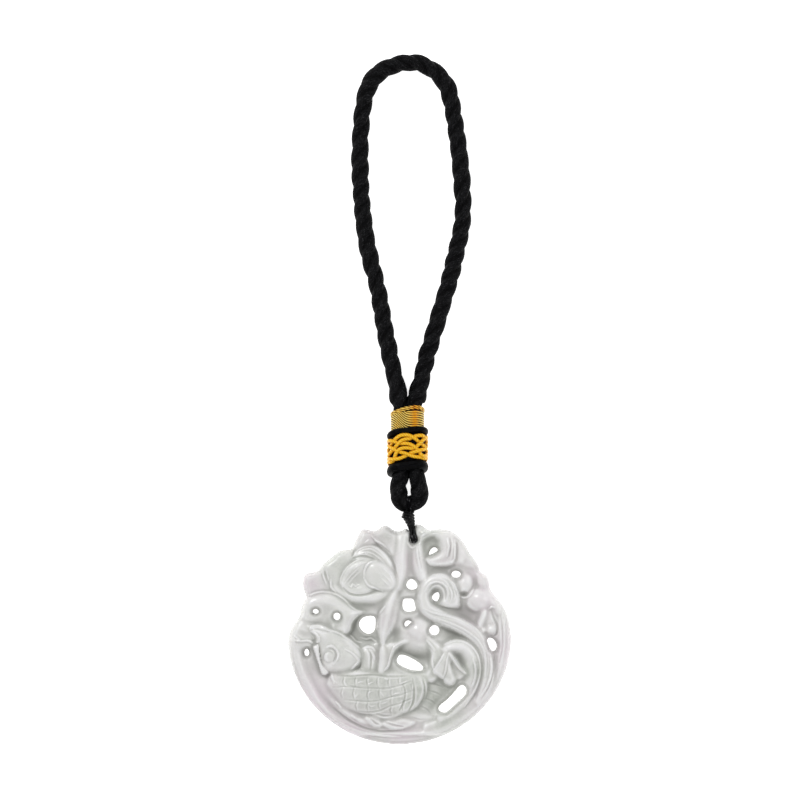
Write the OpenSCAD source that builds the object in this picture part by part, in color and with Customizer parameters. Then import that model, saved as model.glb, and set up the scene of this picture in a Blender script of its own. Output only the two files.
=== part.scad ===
// Jadeite pendant: a carved and pierced disc of pale jade on a loop of black twisted cord, laid flat.
// Millimetres. The disc's flat back lies on z = 0 with the origin at its middle, the carving faces +Z,
// and the collar and the cord loop run away from it along +Y.

/* [Disc] */
// Thickness of the disc from its flat back to its highest carving
carving_t = 8; // [6.8:0.1:9]
// Diameter of the drilled hole that the thread passes through
thread_hole_d = 2.2; // [2.1:0.1:2.6]

/* [Cords] */
// Diameter of the twisted cord along the free part of the big loop
cord_d = 4.2; // [3.8:0.1:4.3]
// Diameter of a cord leg inside the gold wrap and the collar
squeezed_d = 3.7; // [3.2:0.1:3.7]
// Thickness of the thread that ties the disc to the lower loop
thread_d = 0.85; // [0.6:0.05:0.9]

/* [Collar] */
// How far the collar's rolled ends stand out from the middle of a cord leg
roll_r = 3.45; // [3:0.05:3.5]
// How far the collar's waist stands out from the middle of a cord leg
waist_r = 2.25; // [2.15:0.05:2.3]
// How far the gold wrap stands out from the middle of a cord leg
wrap_r = 2.4; // [2.2:0.05:2.6]
// Thickness of the yellow cord that is woven round the waist
knot_d = 0.9; // [0.7:0.05:1]

/* [Hidden] */

// Columns of the tables of points
X = 0;
Y = 1;
HALF = 2;
TOP = 3;

// The tables below are drawn for a disc of this thickness, with its open ground at this height
drawn_t = 8;
ground = 3.4;
edge_bevel = 0.9;
bevel_scale = 0.965;
ridge_foot = 1.8;

// Scalloped upper edge of the disc, from its left side over the top to its right side
lobed_edge = [
    [-28.8, 1.2], [-27.9, 2.8], [-26.4, 5], [-25.9, 7], [-25.2, 9], [-24.7, 9.9], [-25.1, 11.2],
    [-25.6, 13], [-25.5, 14.8], [-24.8, 15.9], [-23.5, 16.3], [-21.9, 16.6], [-21, 17.5], [-19.8, 19],
    [-18.1, 20.3], [-16.6, 21.5], [-15, 22.2], [-13.3, 22.2], [-12.3, 23.3], [-11.7, 25], [-10.9, 26.5],
    [-9.8, 27.6], [-8.6, 27.5], [-7.2, 27.1], [-5.8, 27.7], [-4.5, 28.5], [-3.2, 28.2], [-1.8, 27.2],
    [-0.6, 27], [0.7, 27.4], [1.4, 27.7], [2.1, 27], [3.2, 27], [3.8, 28.5], [4.8, 28.7], [6, 28.2],
    [7.1, 27.4], [9, 27.5], [11.2, 27.5], [13.3, 26.9], [15, 25.7], [16.5, 23.8], [17.4, 22.2],
    [18.9, 20.1], [20, 18.4], [20.4, 16.9], [21.6, 16], [22.5, 15.2], [22.9, 13.8], [23.2, 12.3],
    [24.2, 10.6], [25.7, 8.8], [26.9, 6.9], [27.8, 4.6], [28.4, 2], [28.6, -0.2]
];

// The smooth lower edge is part of an ellipse: middle, half width and half height
lower_mid = [-0.4, -0.5];
lower_half = [29.1, 28];
lower_step = 6;
lower_edge = [
    for (a = [-3 : -lower_step : -177])
        lower_mid + [lower_half[X] * cos(a), lower_half[Y] * sin(a)]
];
edge = concat(lobed_edge, lower_edge);

// Low pads that the carved forms stand on, each its height and its outline
pads = [
    // lotus flower, its two petals at the top edge and its two at the left
    [5.5, [[-16.4, 12.9], [-15.8, 16], [-14.2, 18.4], [-12, 20.6], [-9.8, 22.6], [-7, 23.1], [-4.8, 22.2], [-2.6, 19.6], [-1.6, 17], [-2, 13.5], [-4.5, 11.2], [-8, 10.8], [-12, 10.6], [-14.8, 11.2]]],
    [4.7, [[-12.3, 23.3], [-11, 26.2], [-9.7, 27.4], [-7.4, 27], [-6.5, 24.6], [-7, 23.4], [-10, 22.9]]],
    [4.9, [[-6.3, 24.4], [-6.9, 26.9], [-4.3, 28.4], [-1.9, 27.2], [-1.5, 24], [-2.6, 21.6], [-4.8, 22.9]]],
    [4.9, [[-20.8, 17.6], [-18, 20.2], [-15.4, 22.1], [-13.2, 22.1], [-12, 20.9], [-14.6, 18.6], [-16.3, 15.8], [-18.6, 13], [-19.7, 15.6]]],
    [4.7, [[-25.1, 11.4], [-25.4, 14.8], [-23.8, 16.1], [-21.4, 16.5], [-20.1, 15.2], [-19.4, 12.8], [-20.6, 11.1], [-23, 10.5]]],
    // carp's head with its gill cover, and its body with the tail
    [5.3, [[-24, 1.9], [-20, 2.2], [-16, 0.6], [-12, -2.2], [-9.8, -3.1], [-7, -3], [-6.6, -6], [-7.4, -9.4], [-12, -9.6], [-18.6, -9.6], [-20.6, -6], [-21.6, -2.6], [-22.4, -0.4]]],
    [5.3, [[-18.8, -12.6], [-17.4, -9.5], [-11, -9.9], [-3, -9.8], [3, -9.8], [6.6, -11.4], [8.9, -13.8], [9.6, -18.2], [6.4, -20.4], [2, -19.8], [-2, -20.7], [-7, -21.2], [-12, -20.6], [-15.8, -18.2], [-18, -15.4]]],
    // curled leaf at the upper right
    [4.9, [[4.9, 20], [4.7, 24], [6.3, 26.5], [10, 27.1], [13.2, 26.6], [15.6, 24.6], [17.4, 21.6], [19.6, 18.4], [17.6, 17.3], [14, 17.9], [10, 18.6], [6.6, 18.8]]],
    // curled end of the long stem, and the leaf ends beside it
    [5.1, [[4.9, 7.6], [4, 11], [5.3, 14.2], [9, 15.9], [13, 14.8], [15.1, 11], [14.9, 7.8], [11, 7], [8, 6.2]]],
    [4.8, [[15.2, 14.6], [18.4, 15], [20.6, 16], [22.4, 14.4], [23, 11.4], [24.6, 9.4], [25.6, 6.6], [23, 6], [20, 6.8], [17.6, 8.8], [15.8, 10.4]]],
    // folds of the curled leaf at the lower right
    [5.3, [[10.6, -4.2], [8.6, -9.6], [10.6, -11.2], [12.2, -12.9], [14, -12.1], [16.6, -10], [14.4, -5.8], [12.8, -3.8]]],
    // foot of the central dome
    [5.1, [[-0.4, -3.4], [0.8, 1], [2.4, 3.8], [5, 4.4], [7.2, 2.6], [8.9, -2.4], [8.4, -4.6], [4.5, -3], [1, -3.6]]]
];
pad_scale = 0.94;

// Ridges of the carving, each a path of rows: x, y, half width at the ground, height of the crest
ridges = [
    // rim
    [
        [-26.6, 4.2, 1.1, 5], [-27.9, 0, 1.1, 5.2], [-27.9, -4.5, 1.2, 5.3], [-26.7, -9, 1.4, 5.5],
        [-24.4, -13.4, 1.6, 5.6], [-21.4, -17.5, 1.8, 5.8], [-17.6, -21, 1.8, 5.9], [-13, -23.8, 1.8, 6],
        [-8, -25.7, 1.9, 6], [-2.5, -26.6, 1.9, 6], [3.4, -26.4, 2, 6], [9, -25, 2.2, 6],
        [14.2, -22.3, 2.3, 6], [18.6, -18.6, 2.3, 6], [22.1, -14.2, 2.2, 6], [24.8, -9, 2, 5.9],
        [26.3, -3.6, 1.9, 5.8], [26.5, 1.6, 1.8, 5.7], [25.4, 6, 1.6, 5.6], [23.6, 9.6, 1.5, 5.6]
    ],
    // long stem that curls over at its upper left end
    [
        [20.6, -15.3, 0.9, 6.2], [22.4, -10.6, 1.1, 6.5], [22.3, -5.6, 1.3, 6.7], [20.4, -1.4, 1.5, 6.8],
        [17, 1.9, 1.5, 6.9], [12.6, 4, 1.5, 7], [8.4, 5.4, 1.5, 7], [5.6, 7.8, 1.4, 7.1],
        [4.7, 11, 1.3, 7.1], [6.3, 13.9, 1.3, 7.2], [9.4, 15.1, 1.4, 7.2], [12.3, 14, 1.5, 7.2],
        [13.3, 11.3, 1.6, 7.1], [12.9, 8.9, 1.5, 6.9]
    ],
    // curled leaf at the lower right
    [
        [15.9, -18.2, 1, 6.2], [18.2, -14.6, 1.1, 6.5], [19.7, -10.5, 1.2, 6.8], [19.6, -6.4, 1.2, 6.9],
        [17.6, -3.3, 1.2, 7], [14.6, -2.2, 1.2, 7.1], [12, -3.2, 1.2, 7.1]
    ],
    // its three hanging folds
    [[11.1, -4.4, 1, 7], [10.1, -7.4, 1.2, 6.8], [9.4, -9.8, 1, 6.2]],
    [[12.4, -4.6, 0.9, 7.1], [12.4, -8.2, 1.4, 6.9], [12.3, -11.4, 1.4, 6.4]],
    [[13.6, -5.4, 0.8, 6.9], [14.9, -7.8, 1, 6.7], [16.2, -9.9, 0.9, 6.2]],
    // carp: upper lip, lower lip, barbel, gill cover
    [[-25.7, 2, 1, 5.9], [-22.4, 1.4, 1.3, 6.5], [-19.2, 0.3, 1.6, 6.9]],
    [[-27.2, -0.9, 0.7, 5.8], [-24.8, -1.4, 0.7, 6.1], [-22.4, -2, 0.7, 6.5]],
    [[-22.3, -3, 0.7, 7], [-21.6, -6.2, 0.7, 7.1], [-20.1, -9.3, 0.9, 6.9]],
    [[-9.9, -4.4, 1.6, 6.7], [-8.6, -6.2, 1.7, 6.9], [-8.4, -8.6, 1.6, 6.7]],
    // carp: belly fins and tail
    [[-6, -20.4, 1, 6.2], [-3, -20.3, 1.3, 6.5], [-0.4, -19.3, 1.1, 6.3]],
    [[-6.4, -23.6, 0.9, 6], [-3.6, -23.6, 1.1, 6.2], [-0.4, -22.9, 1, 6]],
    [[2.4, -21.4, 0.9, 5.9], [4.6, -21.9, 1, 6], [6.6, -21, 0.9, 5.9]],
    [[-16.3, -18.2, 0.9, 5.9], [-13, -20.6, 1.2, 6.1], [-9.6, -22, 1.1, 6]],
    [[5.4, -12.6, 1.5, 6.9], [6.8, -15.6, 1.9, 6.6], [8.2, -18.6, 1.6, 5.9]],
    [[0.9, -13.6, 0.9, 7.4], [1.6, -16.4, 1, 7.2], [1.7, -19, 0.9, 6.6]],
    [[3.5, -12.8, 0.9, 7.3], [4.1, -15.4, 1, 7.1], [4.2, -18, 0.9, 6.5]],
    // stem from the flower down to the carp
    [[-1.6, 12.4, 1.5, 6.6], [-2.3, 8, 1.5, 6.6], [-3.5, 3.2, 1.5, 6.6], [-4.6, -1.6, 1.3, 6.6], [-4.7, -7.4, 1.2, 6.8]],
    // upright folds under the thread hole
    [[0, 25.9, 1.3, 5.6], [-0.5, 21.6, 1.4, 6.2], [-0.4, 16.4, 1.4, 6.5]],
    [[4, 21.2, 1, 6.1], [4, 17.8, 1, 6.2], [4.4, 15, 0.9, 6.3]],
    // arms of the central dome round the long gap
    [[1.6, -0.9, 1, 6.6], [-1, -2.3, 0.9, 6.4], [-2.3, -4.7, 0.8, 6.3], [-2.6, -7.6, 0.8, 6.3]],
    [[7, -1.2, 1, 6.5], [8.5, -3.7, 0.9, 6.4], [8.7, -6.4, 0.8, 6.3], [8, -9.2, 0.7, 6.2]],
    // petals round the flower's bud
    [[-11.2, 20.4, 1, 6], [-9.6, 22.2, 1.1, 6.2], [-6.6, 21.9, 1.3, 6.4], [-4, 19.9, 1.3, 6.6], [-2.6, 17.2, 1.2, 6.7]],
    [[-9.6, 19, 1.1, 6.4], [-12, 17.4, 1.7, 6.5], [-13.9, 14.6, 1.8, 6.4], [-13.6, 12.1, 1.3, 6.2]],
    [[-16.9, 12.9, 0.8, 6.1], [-15.2, 10.6, 0.9, 6.3], [-13.3, 8.6, 0.9, 6.3], [-11.2, 7, 0.8, 6.1], [-8, 6.2, 0.7, 5.9]],
    // outer petals along the scalloped edge
    [[-4.1, 26.6, 1.7, 5.5], [-3.7, 24.4, 1.8, 5.8]],
    [[-9.5, 25.8, 1.6, 5.4], [-8.9, 24, 1.5, 5.7]],
    [[-18.6, 17.4, 1.8, 5.7], [-15.9, 19.7, 1.9, 5.8], [-12.9, 20.4, 1.4, 5.8]],
    [[-23.2, 13.8, 2, 5.4], [-20.4, 13.6, 1.8, 5.7]],
    [[5, 27.1, 1.1, 5.2], [6, 26.4, 1, 5.4]],
    // lotus leaf with two small gaps: its upper and right edge, and its left edge
    [[-24, 7.4, 1.2, 5.8], [-22.2, 9.2, 1.5, 6.4], [-19.2, 9.7, 1.6, 6.6], [-16.4, 8.2, 1.6, 6.6], [-14.6, 5.9, 1.2, 6.3], [-14.5, 3.2, 1, 6.1]],
    [[-25.2, 7.6, 0.8, 5.5], [-26, 5, 0.8, 5.4]],
    // curled leaf at the upper right, with its tongue and folds
    [[5.7, 19.9, 0.7, 5.9], [5.5, 23, 0.7, 6], [6.9, 25.6, 0.9, 6.1], [9.6, 26.2, 1.1, 6.3], [11.6, 24.2, 1.2, 6.6], [11.6, 21.6, 1.4, 6.6], [9.4, 19.6, 1.4, 6.4], [7.8, 19.2, 0.8, 6.1]],
    [[13.6, 25.2, 0.9, 6], [13.4, 22, 0.9, 6.3], [12.9, 19.4, 0.9, 6.2]],
    [[15.4, 23.8, 1, 5.8], [15.8, 21, 1.2, 6], [16, 18.8, 1.1, 5.9]],
    [[17.6, 20, 1, 5.5], [18.6, 17.6, 1.3, 5.6]],
    // leaf ends at the right
    [[20.9, 15, 1.1, 5.4], [21.4, 13.2, 1.2, 5.6]],
    [[21.5, 7, 0.9, 6.2], [21, 4.6, 0.8, 6.3], [20.5, 2.4, 0.7, 6.2]],
    [[22.4, 1.6, 0.7, 6], [23.8, 1.9, 0.7, 6]]
];

// Rounded forms of the carving: x, y, half length, half width, turn in degrees, height of the crest
ROUND_WIDE = 3;
ROUND_TURN = 4;
ROUND_TOP = 5;
rounds = [
    [-15.9, -4.4, 6.2, 4.6, -22, 7.8],
    [-18.4, -5.4, 1.6, 1.6, 0, 8],
    [-6.6, -14.6, 12.2, 5.2, 1, 7.3],
    [-5.8, 15.5, 5, 3.5, -38, 7.1],
    [-11.9, 14.6, 3.2, 3.8, 20, 6.4],
    [4.2, 1.2, 3.2, 2.6, 0, 6.9],
    [16.9, 13.5, 1.7, 2.3, 0, 6.4],
    [21, 9.4, 3.3, 2.5, -14, 6.5]
];
round_n = 18;

// Scales on the carp's flank: rows of low tiles, each row's first and last tile and its line
scale_rows = [
    [-15.9, -0.2, -11.6],
    [-16.6, -0.2, -14.5],
    [-13.6, -0.4, -17.3]
];
scale_step = 2.9;
scale_w = 2.8;
scale_h = 0.9;
flank = rounds[2];

// Pierced gaps, each an outline
gaps = [
    // large gap right of the carp's head
    [[-10.9, 2.6], [-10.5, 3.8], [-9.6, 4.6], [-8.3, 4.9], [-7.1, 4.8], [-6.6, 3.9], [-6.8, 1.7], [-7.6, 0.5], [-8.8, 0.3], [-9.9, 0.9]],
    // gaps between the upright folds, from the top down
    [[2.9, 14.5], [3.9, 13.8], [4.2, 12.8], [3.6, 11.9], [2.2, 11.9], [1.4, 12.8], [1.8, 14]],
    [[0.9, 9.4], [3.1, 9.3], [3.7, 7], [3.2, 6.2], [1.2, 6.1], [0.5, 7.2], [0.5, 8.6]],
    [[1.1, 2.2], [0.9, 2.9], [1.3, 3.6], [2, 3.7], [2.8, 3.4], [1.9, 2.6]],
    // gaps inside the curled leaves
    [[7.2, 20.9], [7.5, 22], [8.3, 22.8], [9, 22.8], [9.6, 22.2], [8.6, 21.3]],
    [[9.5, 11.1], [8.5, 10.6], [8.1, 9.8], [8.5, 9], [9.2, 8.7], [9.9, 9.6], [10, 10.6]],
    // gap beside the rim on the right
    [[22.5, -1.3], [23, -0.8], [24, -1], [24.8, -2.2], [24.9, -3.4], [24.2, -4.2], [23.4, -3.8], [22.8, -2.6]],
    // long gap under the central dome
    [[-0.2, -5.2], [1.4, -5.4], [3, -6.2], [4.6, -7.2], [5.7, -8.5], [5.3, -9.2], [4, -9.3], [1.8, -8.8], [-0.2, -7.9], [-1, -6.9], [-0.8, -5.8]],
    // slot along the lower right leaf
    [[16, -13.1], [16.9, -13.8], [16.9, -15.2], [15.9, -16.5], [13.6, -18.6], [12, -20], [10.9, -20.2], [9.9, -19.5], [10, -18.5], [12.4, -16.5], [14.6, -13.9]]
];

gap_round = 0.35;

// Round and oval gaps: x, y, half width, half height
oval_gaps = [
    [-22.2, 6.1, 0.75, 0.6],
    [-16.7, 4.8, 0.85, 0.95],
    [8.7, 1.2, 1.25, 1.3],
    [14.4, 15.9, 1.2, 0.9],
    [-24.6, -4.6, 0.6, 0.95]
];
oval_gap_n = 12;

// The drilled hole and the shallow groove that leads the thread from it to the edge across the back
hole_at = [3.3, 24.3];
groove_r = 1.4;
groove_out = [2.7, 30];

// Middle of the collar's oval: half the distance between the cord legs, and the height of the legs
leg_mid = 1.7;
leg_half = 1.9;
leg_z = 3.6;

// The bindings lean: they rise to the right, and towards the viewer
lean_x = 0.115;
lean_z = 0.35;

// Route of the big loop: x, y, z, diameter
loop_route = [
    [-0.2, 48.1, 3.6, squeezed_d], [-0.2, 53.5, 3.6, squeezed_d], [-0.2, 59.2, 3.6, squeezed_d],
    [-0.6, 61.4, 3.5, 4.5], [-1.2, 65.4, 3, cord_d], [-2.5, 71, 2.4, cord_d], [-4.2, 79.5, 2.2, cord_d],
    [-6.1, 90.4, 2.2, cord_d], [-8.5, 100, 2.2, cord_d], [-9.8, 108.6, 2.2, cord_d],
    [-10.5, 117, 2.2, cord_d], [-10.7, 125, 2.2, cord_d], [-10.4, 132.6, 2.2, cord_d],
    [-9.6, 139, 2.2, cord_d], [-8.3, 143.2, 2.2, cord_d], [-5.8, 146.4, 2.2, cord_d],
    [-1.9, 148.4, 2.2, cord_d], [3, 149.2, 2.2, cord_d], [6.4, 148.7, 2.2, cord_d],
    [9.2, 147.1, 2.2, cord_d], [11.4, 144.7, 2.2, cord_d], [12.6, 141.5, 2.2, cord_d],
    [13.3, 138, 2.2, cord_d], [14.3, 132, 2.2, cord_d], [15.3, 124.5, 2.2, cord_d],
    [15.9, 117.5, 2.2, cord_d], [16.2, 111, 2.2, cord_d], [15.7, 105.6, 2.2, cord_d],
    [14.4, 99.8, 2.2, cord_d], [12.7, 92.6, 2.2, cord_d], [10.7, 85.8, 2.2, cord_d],
    [8.9, 79.8, 2.2, cord_d], [6.7, 72.4, 2.4, cord_d], [5.5, 67.2, 2.9, cord_d],
    [4.2, 62, 3.4, 4.5], [3.6, 60, 3.6, squeezed_d], [3.6, 53.5, 3.6, squeezed_d],
    [3.6, 48.1, 3.6, squeezed_d]
];

// Route of the lower loop: x, y, z, diameter
lower_route = [
    [-0.2, 47.9, 3.6, squeezed_d], [-0.2, 44, 3.6, squeezed_d], [-0.2, 41.2, 3.6, squeezed_d],
    [-0.65, 39.2, 3.4, 4.1], [-0.7, 37.2, 3.3, 4.3], [-0.4, 35.6, 3.2, 4.2],
    [0.7, 34.4, 3.2, 4], [2, 34, 3.2, 3.9], [3.4, 34.3, 3.2, 4], [4.5, 35.5, 3.2, 4.2],
    [4.75, 37.2, 3.3, 4.4], [4.75, 39, 3.4, 4.3], [3.9, 40.9, 3.6, 3.9], [3.6, 41.8, 3.6, squeezed_d],
    [3.6, 44, 3.6, squeezed_d], [3.6, 47.9, 3.6, squeezed_d]
];
cord_n = 14;

// Sections of the collar and of the gold wrap: distance out from the middle of a leg, place along the legs
leg_gap = 0.06;
bore_r = squeezed_d / 2 + leg_gap;
collar_section = [
    [bore_r, 42.2], [2.3, 41.9], [roll_r - 0.5, 42], [roll_r - 0.1, 42.5], [roll_r, 43.2],
    [roll_r - 0.15, 43.9], [roll_r - 0.6, 44.4], [waist_r, 44.6], [waist_r, 52.1], [roll_r - 0.6, 52.2],
    [roll_r - 0.1, 52.5], [roll_r, 52.8], [roll_r - 0.2, 53.2], [roll_r - 0.75, 53.5], [2.2, 53.4], [bore_r, 53.1]
];
wrap_section = [
    [bore_r, 53.7], [wrap_r - 0.1, 53.6], [wrap_r, 53.9], [wrap_r, 58.5], [wrap_r - 0.1, 58.8], [bore_r, 58.8]
];
oval_n = 32;

// The woven knot: two yellow cords that each go three times round the waist.
// Each half turn crosses one face: distance from the collar's middle, place along it, and how far up it
// lies between the low strands (0) and the strands on top (1)
ON_TOP = 2;
knot_turns = [
    [[-4.85, 51, 0.5], [-4, 50.4, 1], [-3, 49.7, 0], [-1.9, 49.2, 0], [-0.5, 49.1, 1], [0.9, 48.7, 1], [2, 47.8, 1], [2.8, 46.8, 0], [3.7, 46.2, 1], [4.85, 46.2, 0.5]],
    [[-4.85, 46.2, 0.5], [-3.6, 45.8, 0], [-3.1, 47, 1], [-2.3, 47.8, 1], [-1.1, 48, 1], [0.5, 47.8, 0], [1.9, 48, 0], [3, 48.7, 1], [3.9, 49.5, 1], [4.85, 50, 0.5]],
    [[-4.85, 50, 0.5], [-3.9, 50.7, 0], [-2.9, 51.3, 1], [-1.4, 51.6, 1], [0.1, 51.5, 1], [1.3, 50.7, 1], [2.5, 49.6, 0], [3.5, 48.9, 0], [4.85, 48.6, 0.5]],
    [[-4.85, 48.6, 0.5], [-4, 48.4, 1], [-2.8, 47.5, 0], [-1.6, 46.9, 1], [-0.1, 46.3, 1], [1.6, 45.8, 1], [3, 45.5, 1], [3.9, 45.2, 0], [4.85, 45.2, 0.5]],
    [[-4.85, 45.2, 0.5], [-3.4, 45.2, 1], [-2, 45.5, 1], [-0.6, 46, 0], [0.8, 46.5, 1], [2.2, 46.9, 1], [3.6, 47.4, 0], [4.85, 47.4, 0.5]],
    [[-4.85, 47.4, 0.5], [-4.1, 47.7, 0], [-3.4, 48.7, 1], [-2.6, 49.7, 1], [-1.4, 50.3, 1], [0, 50.4, 0], [1.4, 50.8, 0], [2.7, 51.1, 1], [3.9, 51.2, 1], [4.85, 51, 0.5]]
];
knot_low_r = waist_r + 0.58;
knot_rise = 0.36;

// Route of the thread band from the knot, over the disc, through its hole and back: x, y, z
thread_gap = 0.12;
ground_top = ground * carving_t / drawn_t;
front_z = ground_top + thread_d / 2 + thread_gap;
band_w = 1.7;
band_route = [
    [1.9, 30.4, 3.4], [2.3, 28.9, 3.9], [2.7, 27.6, front_z], [3.1, 26.1, front_z], [3.3, 25.2, front_z],
    [3.3, 24.6, front_z - 0.3], [3.3, 24.3, front_z - 1], [3.3, 24.3, 1.4], [3.3, 24.5, 0.8],
    [3.2, 25.3, 0.5], [2.9, 27.6, 0.5], [2.5, 28.9, 0.8], [1.9, 30.4, 2.6]
];

// Three balls that the tied knot is stretched over, with their diameters
knot_balls = [[1.9, 30.95, 3.2], [1.25, 30.6, 3.3], [2.5, 29.8, 3.3]];
knot_ball_d = [2.2, 2.1, 1.7];

// The thread's turn round the lower loop: middle of the cord there, and radius of the turn
hitch_at = [2, 34, 3.2];
hitch_r = 2.75;
hitch_w = 0.75;
hitch_n = 12;

// Direction of a path at point i, and the direction to the right of it
function along(rows, i) =
    let (a = rows[max(i - 1, 0)], b = rows[min(i + 1, len(rows) - 1)], d = [b[X] - a[X], b[Y] - a[Y]])
    d / norm(d);
function sideways(rows, i) = let (d = along(rows, i)) [d[Y], -d[X]];

// A row moved past the path's end, narrower and lower, so that the ridge runs out round
function run_out(row, d) =
    [row[X] + d[X] * row[HALF] * 0.8, row[Y] + d[Y] * row[HALF] * 0.8, row[HALF] * 0.5, ground + (row[TOP] - ground) * 0.5];

function with_ends(rows) =
    let (n = len(rows))
    concat([run_out(rows[0], -along(rows, 0))], rows, [run_out(rows[n - 1], along(rows, n - 1))]);

// Section of a ridge as shares of its half width and of its height over the ground
ridge_profile = [[-1, 0], [-0.86, 0.5], [-0.42, 0.93], [0.42, 0.93], [0.86, 0.5], [1, 0]];

function ridge_ring(row, side) = concat(
    [[row[X] - side[X] * row[HALF], row[Y] - side[Y] * row[HALF], ridge_foot]],
    [
        for (p = ridge_profile)
            [row[X] + side[X] * row[HALF] * p[0], row[Y] + side[Y] * row[HALF] * p[0], ground + (row[TOP] - ground) * p[1]]
    ],
    [[row[X] + side[X] * row[HALF], row[Y] + side[Y] * row[HALF], ridge_foot]]
);

// Triangles of a skin over m rings of n points each, closed at both ends by a fan
function skin_faces(m, n) = concat(
    [for (i = [0 : m - 2], j = [0 : n - 1]) [i * n + j, (i + 1) * n + j, (i + 1) * n + (j + 1) % n]],
    [for (i = [0 : m - 2], j = [0 : n - 1]) [i * n + j, (i + 1) * n + (j + 1) % n, i * n + (j + 1) % n]],
    [for (j = [1 : n - 2]) [0, j, j + 1]],
    [for (j = [1 : n - 2]) [(m - 1) * n, (m - 1) * n + j + 1, (m - 1) * n + j]]
);

// Triangles of a skin over m rings of n points each, whose last ring joins the first
function loop_faces(m, n) = concat(
    [for (i = [0 : m - 1], j = [0 : n - 1]) [i * n + j, ((i + 1) % m) * n + j, ((i + 1) % m) * n + (j + 1) % n]],
    [for (i = [0 : m - 1], j = [0 : n - 1]) [i * n + j, ((i + 1) % m) * n + (j + 1) % n, i * n + (j + 1) % n]]
);

module ridge(path) {
    rows = with_ends(path);
    rings = [for (i = [0 : len(rows) - 1]) ridge_ring(rows[i], sideways(rows, i))];
    polyhedron(points = [for (r = rings) each r], faces = skin_faces(len(rows), len(ridge_profile) + 2));
}

// A rounded form: three tapering tiers on an oval foot
module round_form(row) {
    rise = row[ROUND_TOP] - ground;
    tiers = [[1, 0], [0.88, 0.5], [0.6, 0.85], [0.25, 1]];
    translate([row[X], row[Y], 0])
        rotate(row[ROUND_TURN])
            scale([row[HALF], row[ROUND_WIDE], 1]) {
                translate([0, 0, ridge_foot]) cylinder(h = ground - ridge_foot, r = 1, $fn = round_n);
                for (i = [0 : 2])
                    translate([0, 0, ground + rise * tiers[i][1]])
                        cylinder(
                            h = rise * (tiers[i + 1][1] - tiers[i][1]),
                            r1 = tiers[i][0], r2 = tiers[i + 1][0], $fn = round_n
                        );
            }
}

// Height of the flank's dome at a place, for setting the scales on it
function flank_z(x, y) =
    let (u = (x - flank[X]) / flank[HALF], v = (y - flank[Y]) / flank[ROUND_WIDE])
    ground + (flank[ROUND_TOP] - ground) * sqrt(max(0.1, 1 - u * u - v * v));

// Each tile tips down towards its upper left corner, so that the next one seems to lie over it
module fish_scales() {
    for (row = scale_rows, x = [row[0] : scale_step : row[1]])
        translate([x, row[2], flank_z(x, row[2]) - 0.55])
            rotate([6, 6, 8])
                linear_extrude(scale_h, scale = 0.84)
                    square(scale_w, center = true);
}

// Middle of an outline
function middle(points) = [for (p = points) 1] * points / len(points);

module pad(row) {
    points = row[1];
    mid = middle(points);
    translate([mid[X], mid[Y], ridge_foot])
        linear_extrude(row[0] - ridge_foot, scale = pad_scale)
            polygon([for (p = points) p - mid]);
}

module plate() {
    translate([0, 0, edge_bevel])
        mirror([0, 0, 1])
            linear_extrude(edge_bevel, scale = bevel_scale) polygon(edge);
    translate([0, 0, edge_bevel])
        linear_extrude(ground - 2 * edge_bevel) polygon(edge);
    translate([0, 0, ground - edge_bevel])
        linear_extrude(edge_bevel, scale = bevel_scale) polygon(edge);
}

module piercing() {
    through = 3 * drawn_t;
    translate([0, 0, -drawn_t]) {
        for (g = gaps)
            linear_extrude(through)
                offset(r = gap_round, $fn = oval_gap_n)
                    offset(delta = -gap_round)
                        polygon(g);
        for (g = oval_gaps)
            translate([g[X], g[Y], 0])
                scale([g[2], g[3], 1])
                    cylinder(h = through, r = 1, $fn = oval_gap_n);
        translate(hole_at)
            cylinder(h = through, d = thread_hole_d, $fn = round_n);
    }
    way = groove_out - hole_at;
    translate(hole_at)
        rotate(atan2(way[Y], way[X]))
            rotate([0, 90, 0])
                cylinder(h = norm(way), r = groove_r, $fn = oval_gap_n);
}

module carving() {
    for (row = pads)
        pad(row);
    for (path = ridges)
        ridge(path);
    for (row = rounds)
        round_form(row);
    fish_scales();
}

module jade_disc() {
    color([0.83, 0.84, 0.82])
        resize([0, 0, carving_t])
            difference() {
                union() {
                    plate();
                    intersection() {
                        translate([0, 0, ridge_foot]) linear_extrude(drawn_t) polygon(edge);
                        carving();
                    }
                }
                piercing();
            }
}

// Direction of a route in space at point i
function heading(route, i) =
    let (a = route[max(i - 1, 0)], b = route[min(i + 1, len(route) - 1)], d = [b[0] - a[0], b[1] - a[1], b[2] - a[2]])
    d / norm(d);

function cord_ring(route, i) =
    let (
        row = route[i],
        d = heading(route, i),
        across = cross([0, 0, 1], d),
        n = across / norm(across),
        up = cross(d, n),
        r = row[3] / 2
    )
    [for (j = [0 : cord_n - 1]) let (a = 360 * j / cord_n) [row[0], row[1], row[2]] + r * (cos(a) * n + sin(a) * up)];

module cord(route) {
    rings = [for (i = [0 : len(route) - 1]) cord_ring(route, i)];
    polyhedron(points = [for (r = rings) each r], faces = skin_faces(len(route), cord_n));
}

module hanging_loop() {
    color([0.06, 0.06, 0.07]) cord(loop_route);
}

module lower_loop() {
    color([0.06, 0.06, 0.07]) cord(lower_route);
}

// One leaning oval round both legs, at a distance r from the middle of each
function oval(r, place) = [
    for (i = [0 : oval_n - 1])
        let (
            a = -360 * (i + 0.5) / oval_n,
            x = r * cos(a) + leg_half * sign(cos(a)),
            z = r * sin(a)
        )
        [leg_mid + x, place + lean_x * x + lean_z * z, leg_z + z]
];

module oval_sleeve(section) {
    rings = [for (s = section) oval(s[0], s[1])];
    polyhedron(points = [for (r = rings) each r], faces = loop_faces(len(section), oval_n));
}

module gold_wrap() {
    color([0.85, 0.66, 0.25]) oval_sleeve(wrap_section);
}

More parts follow.
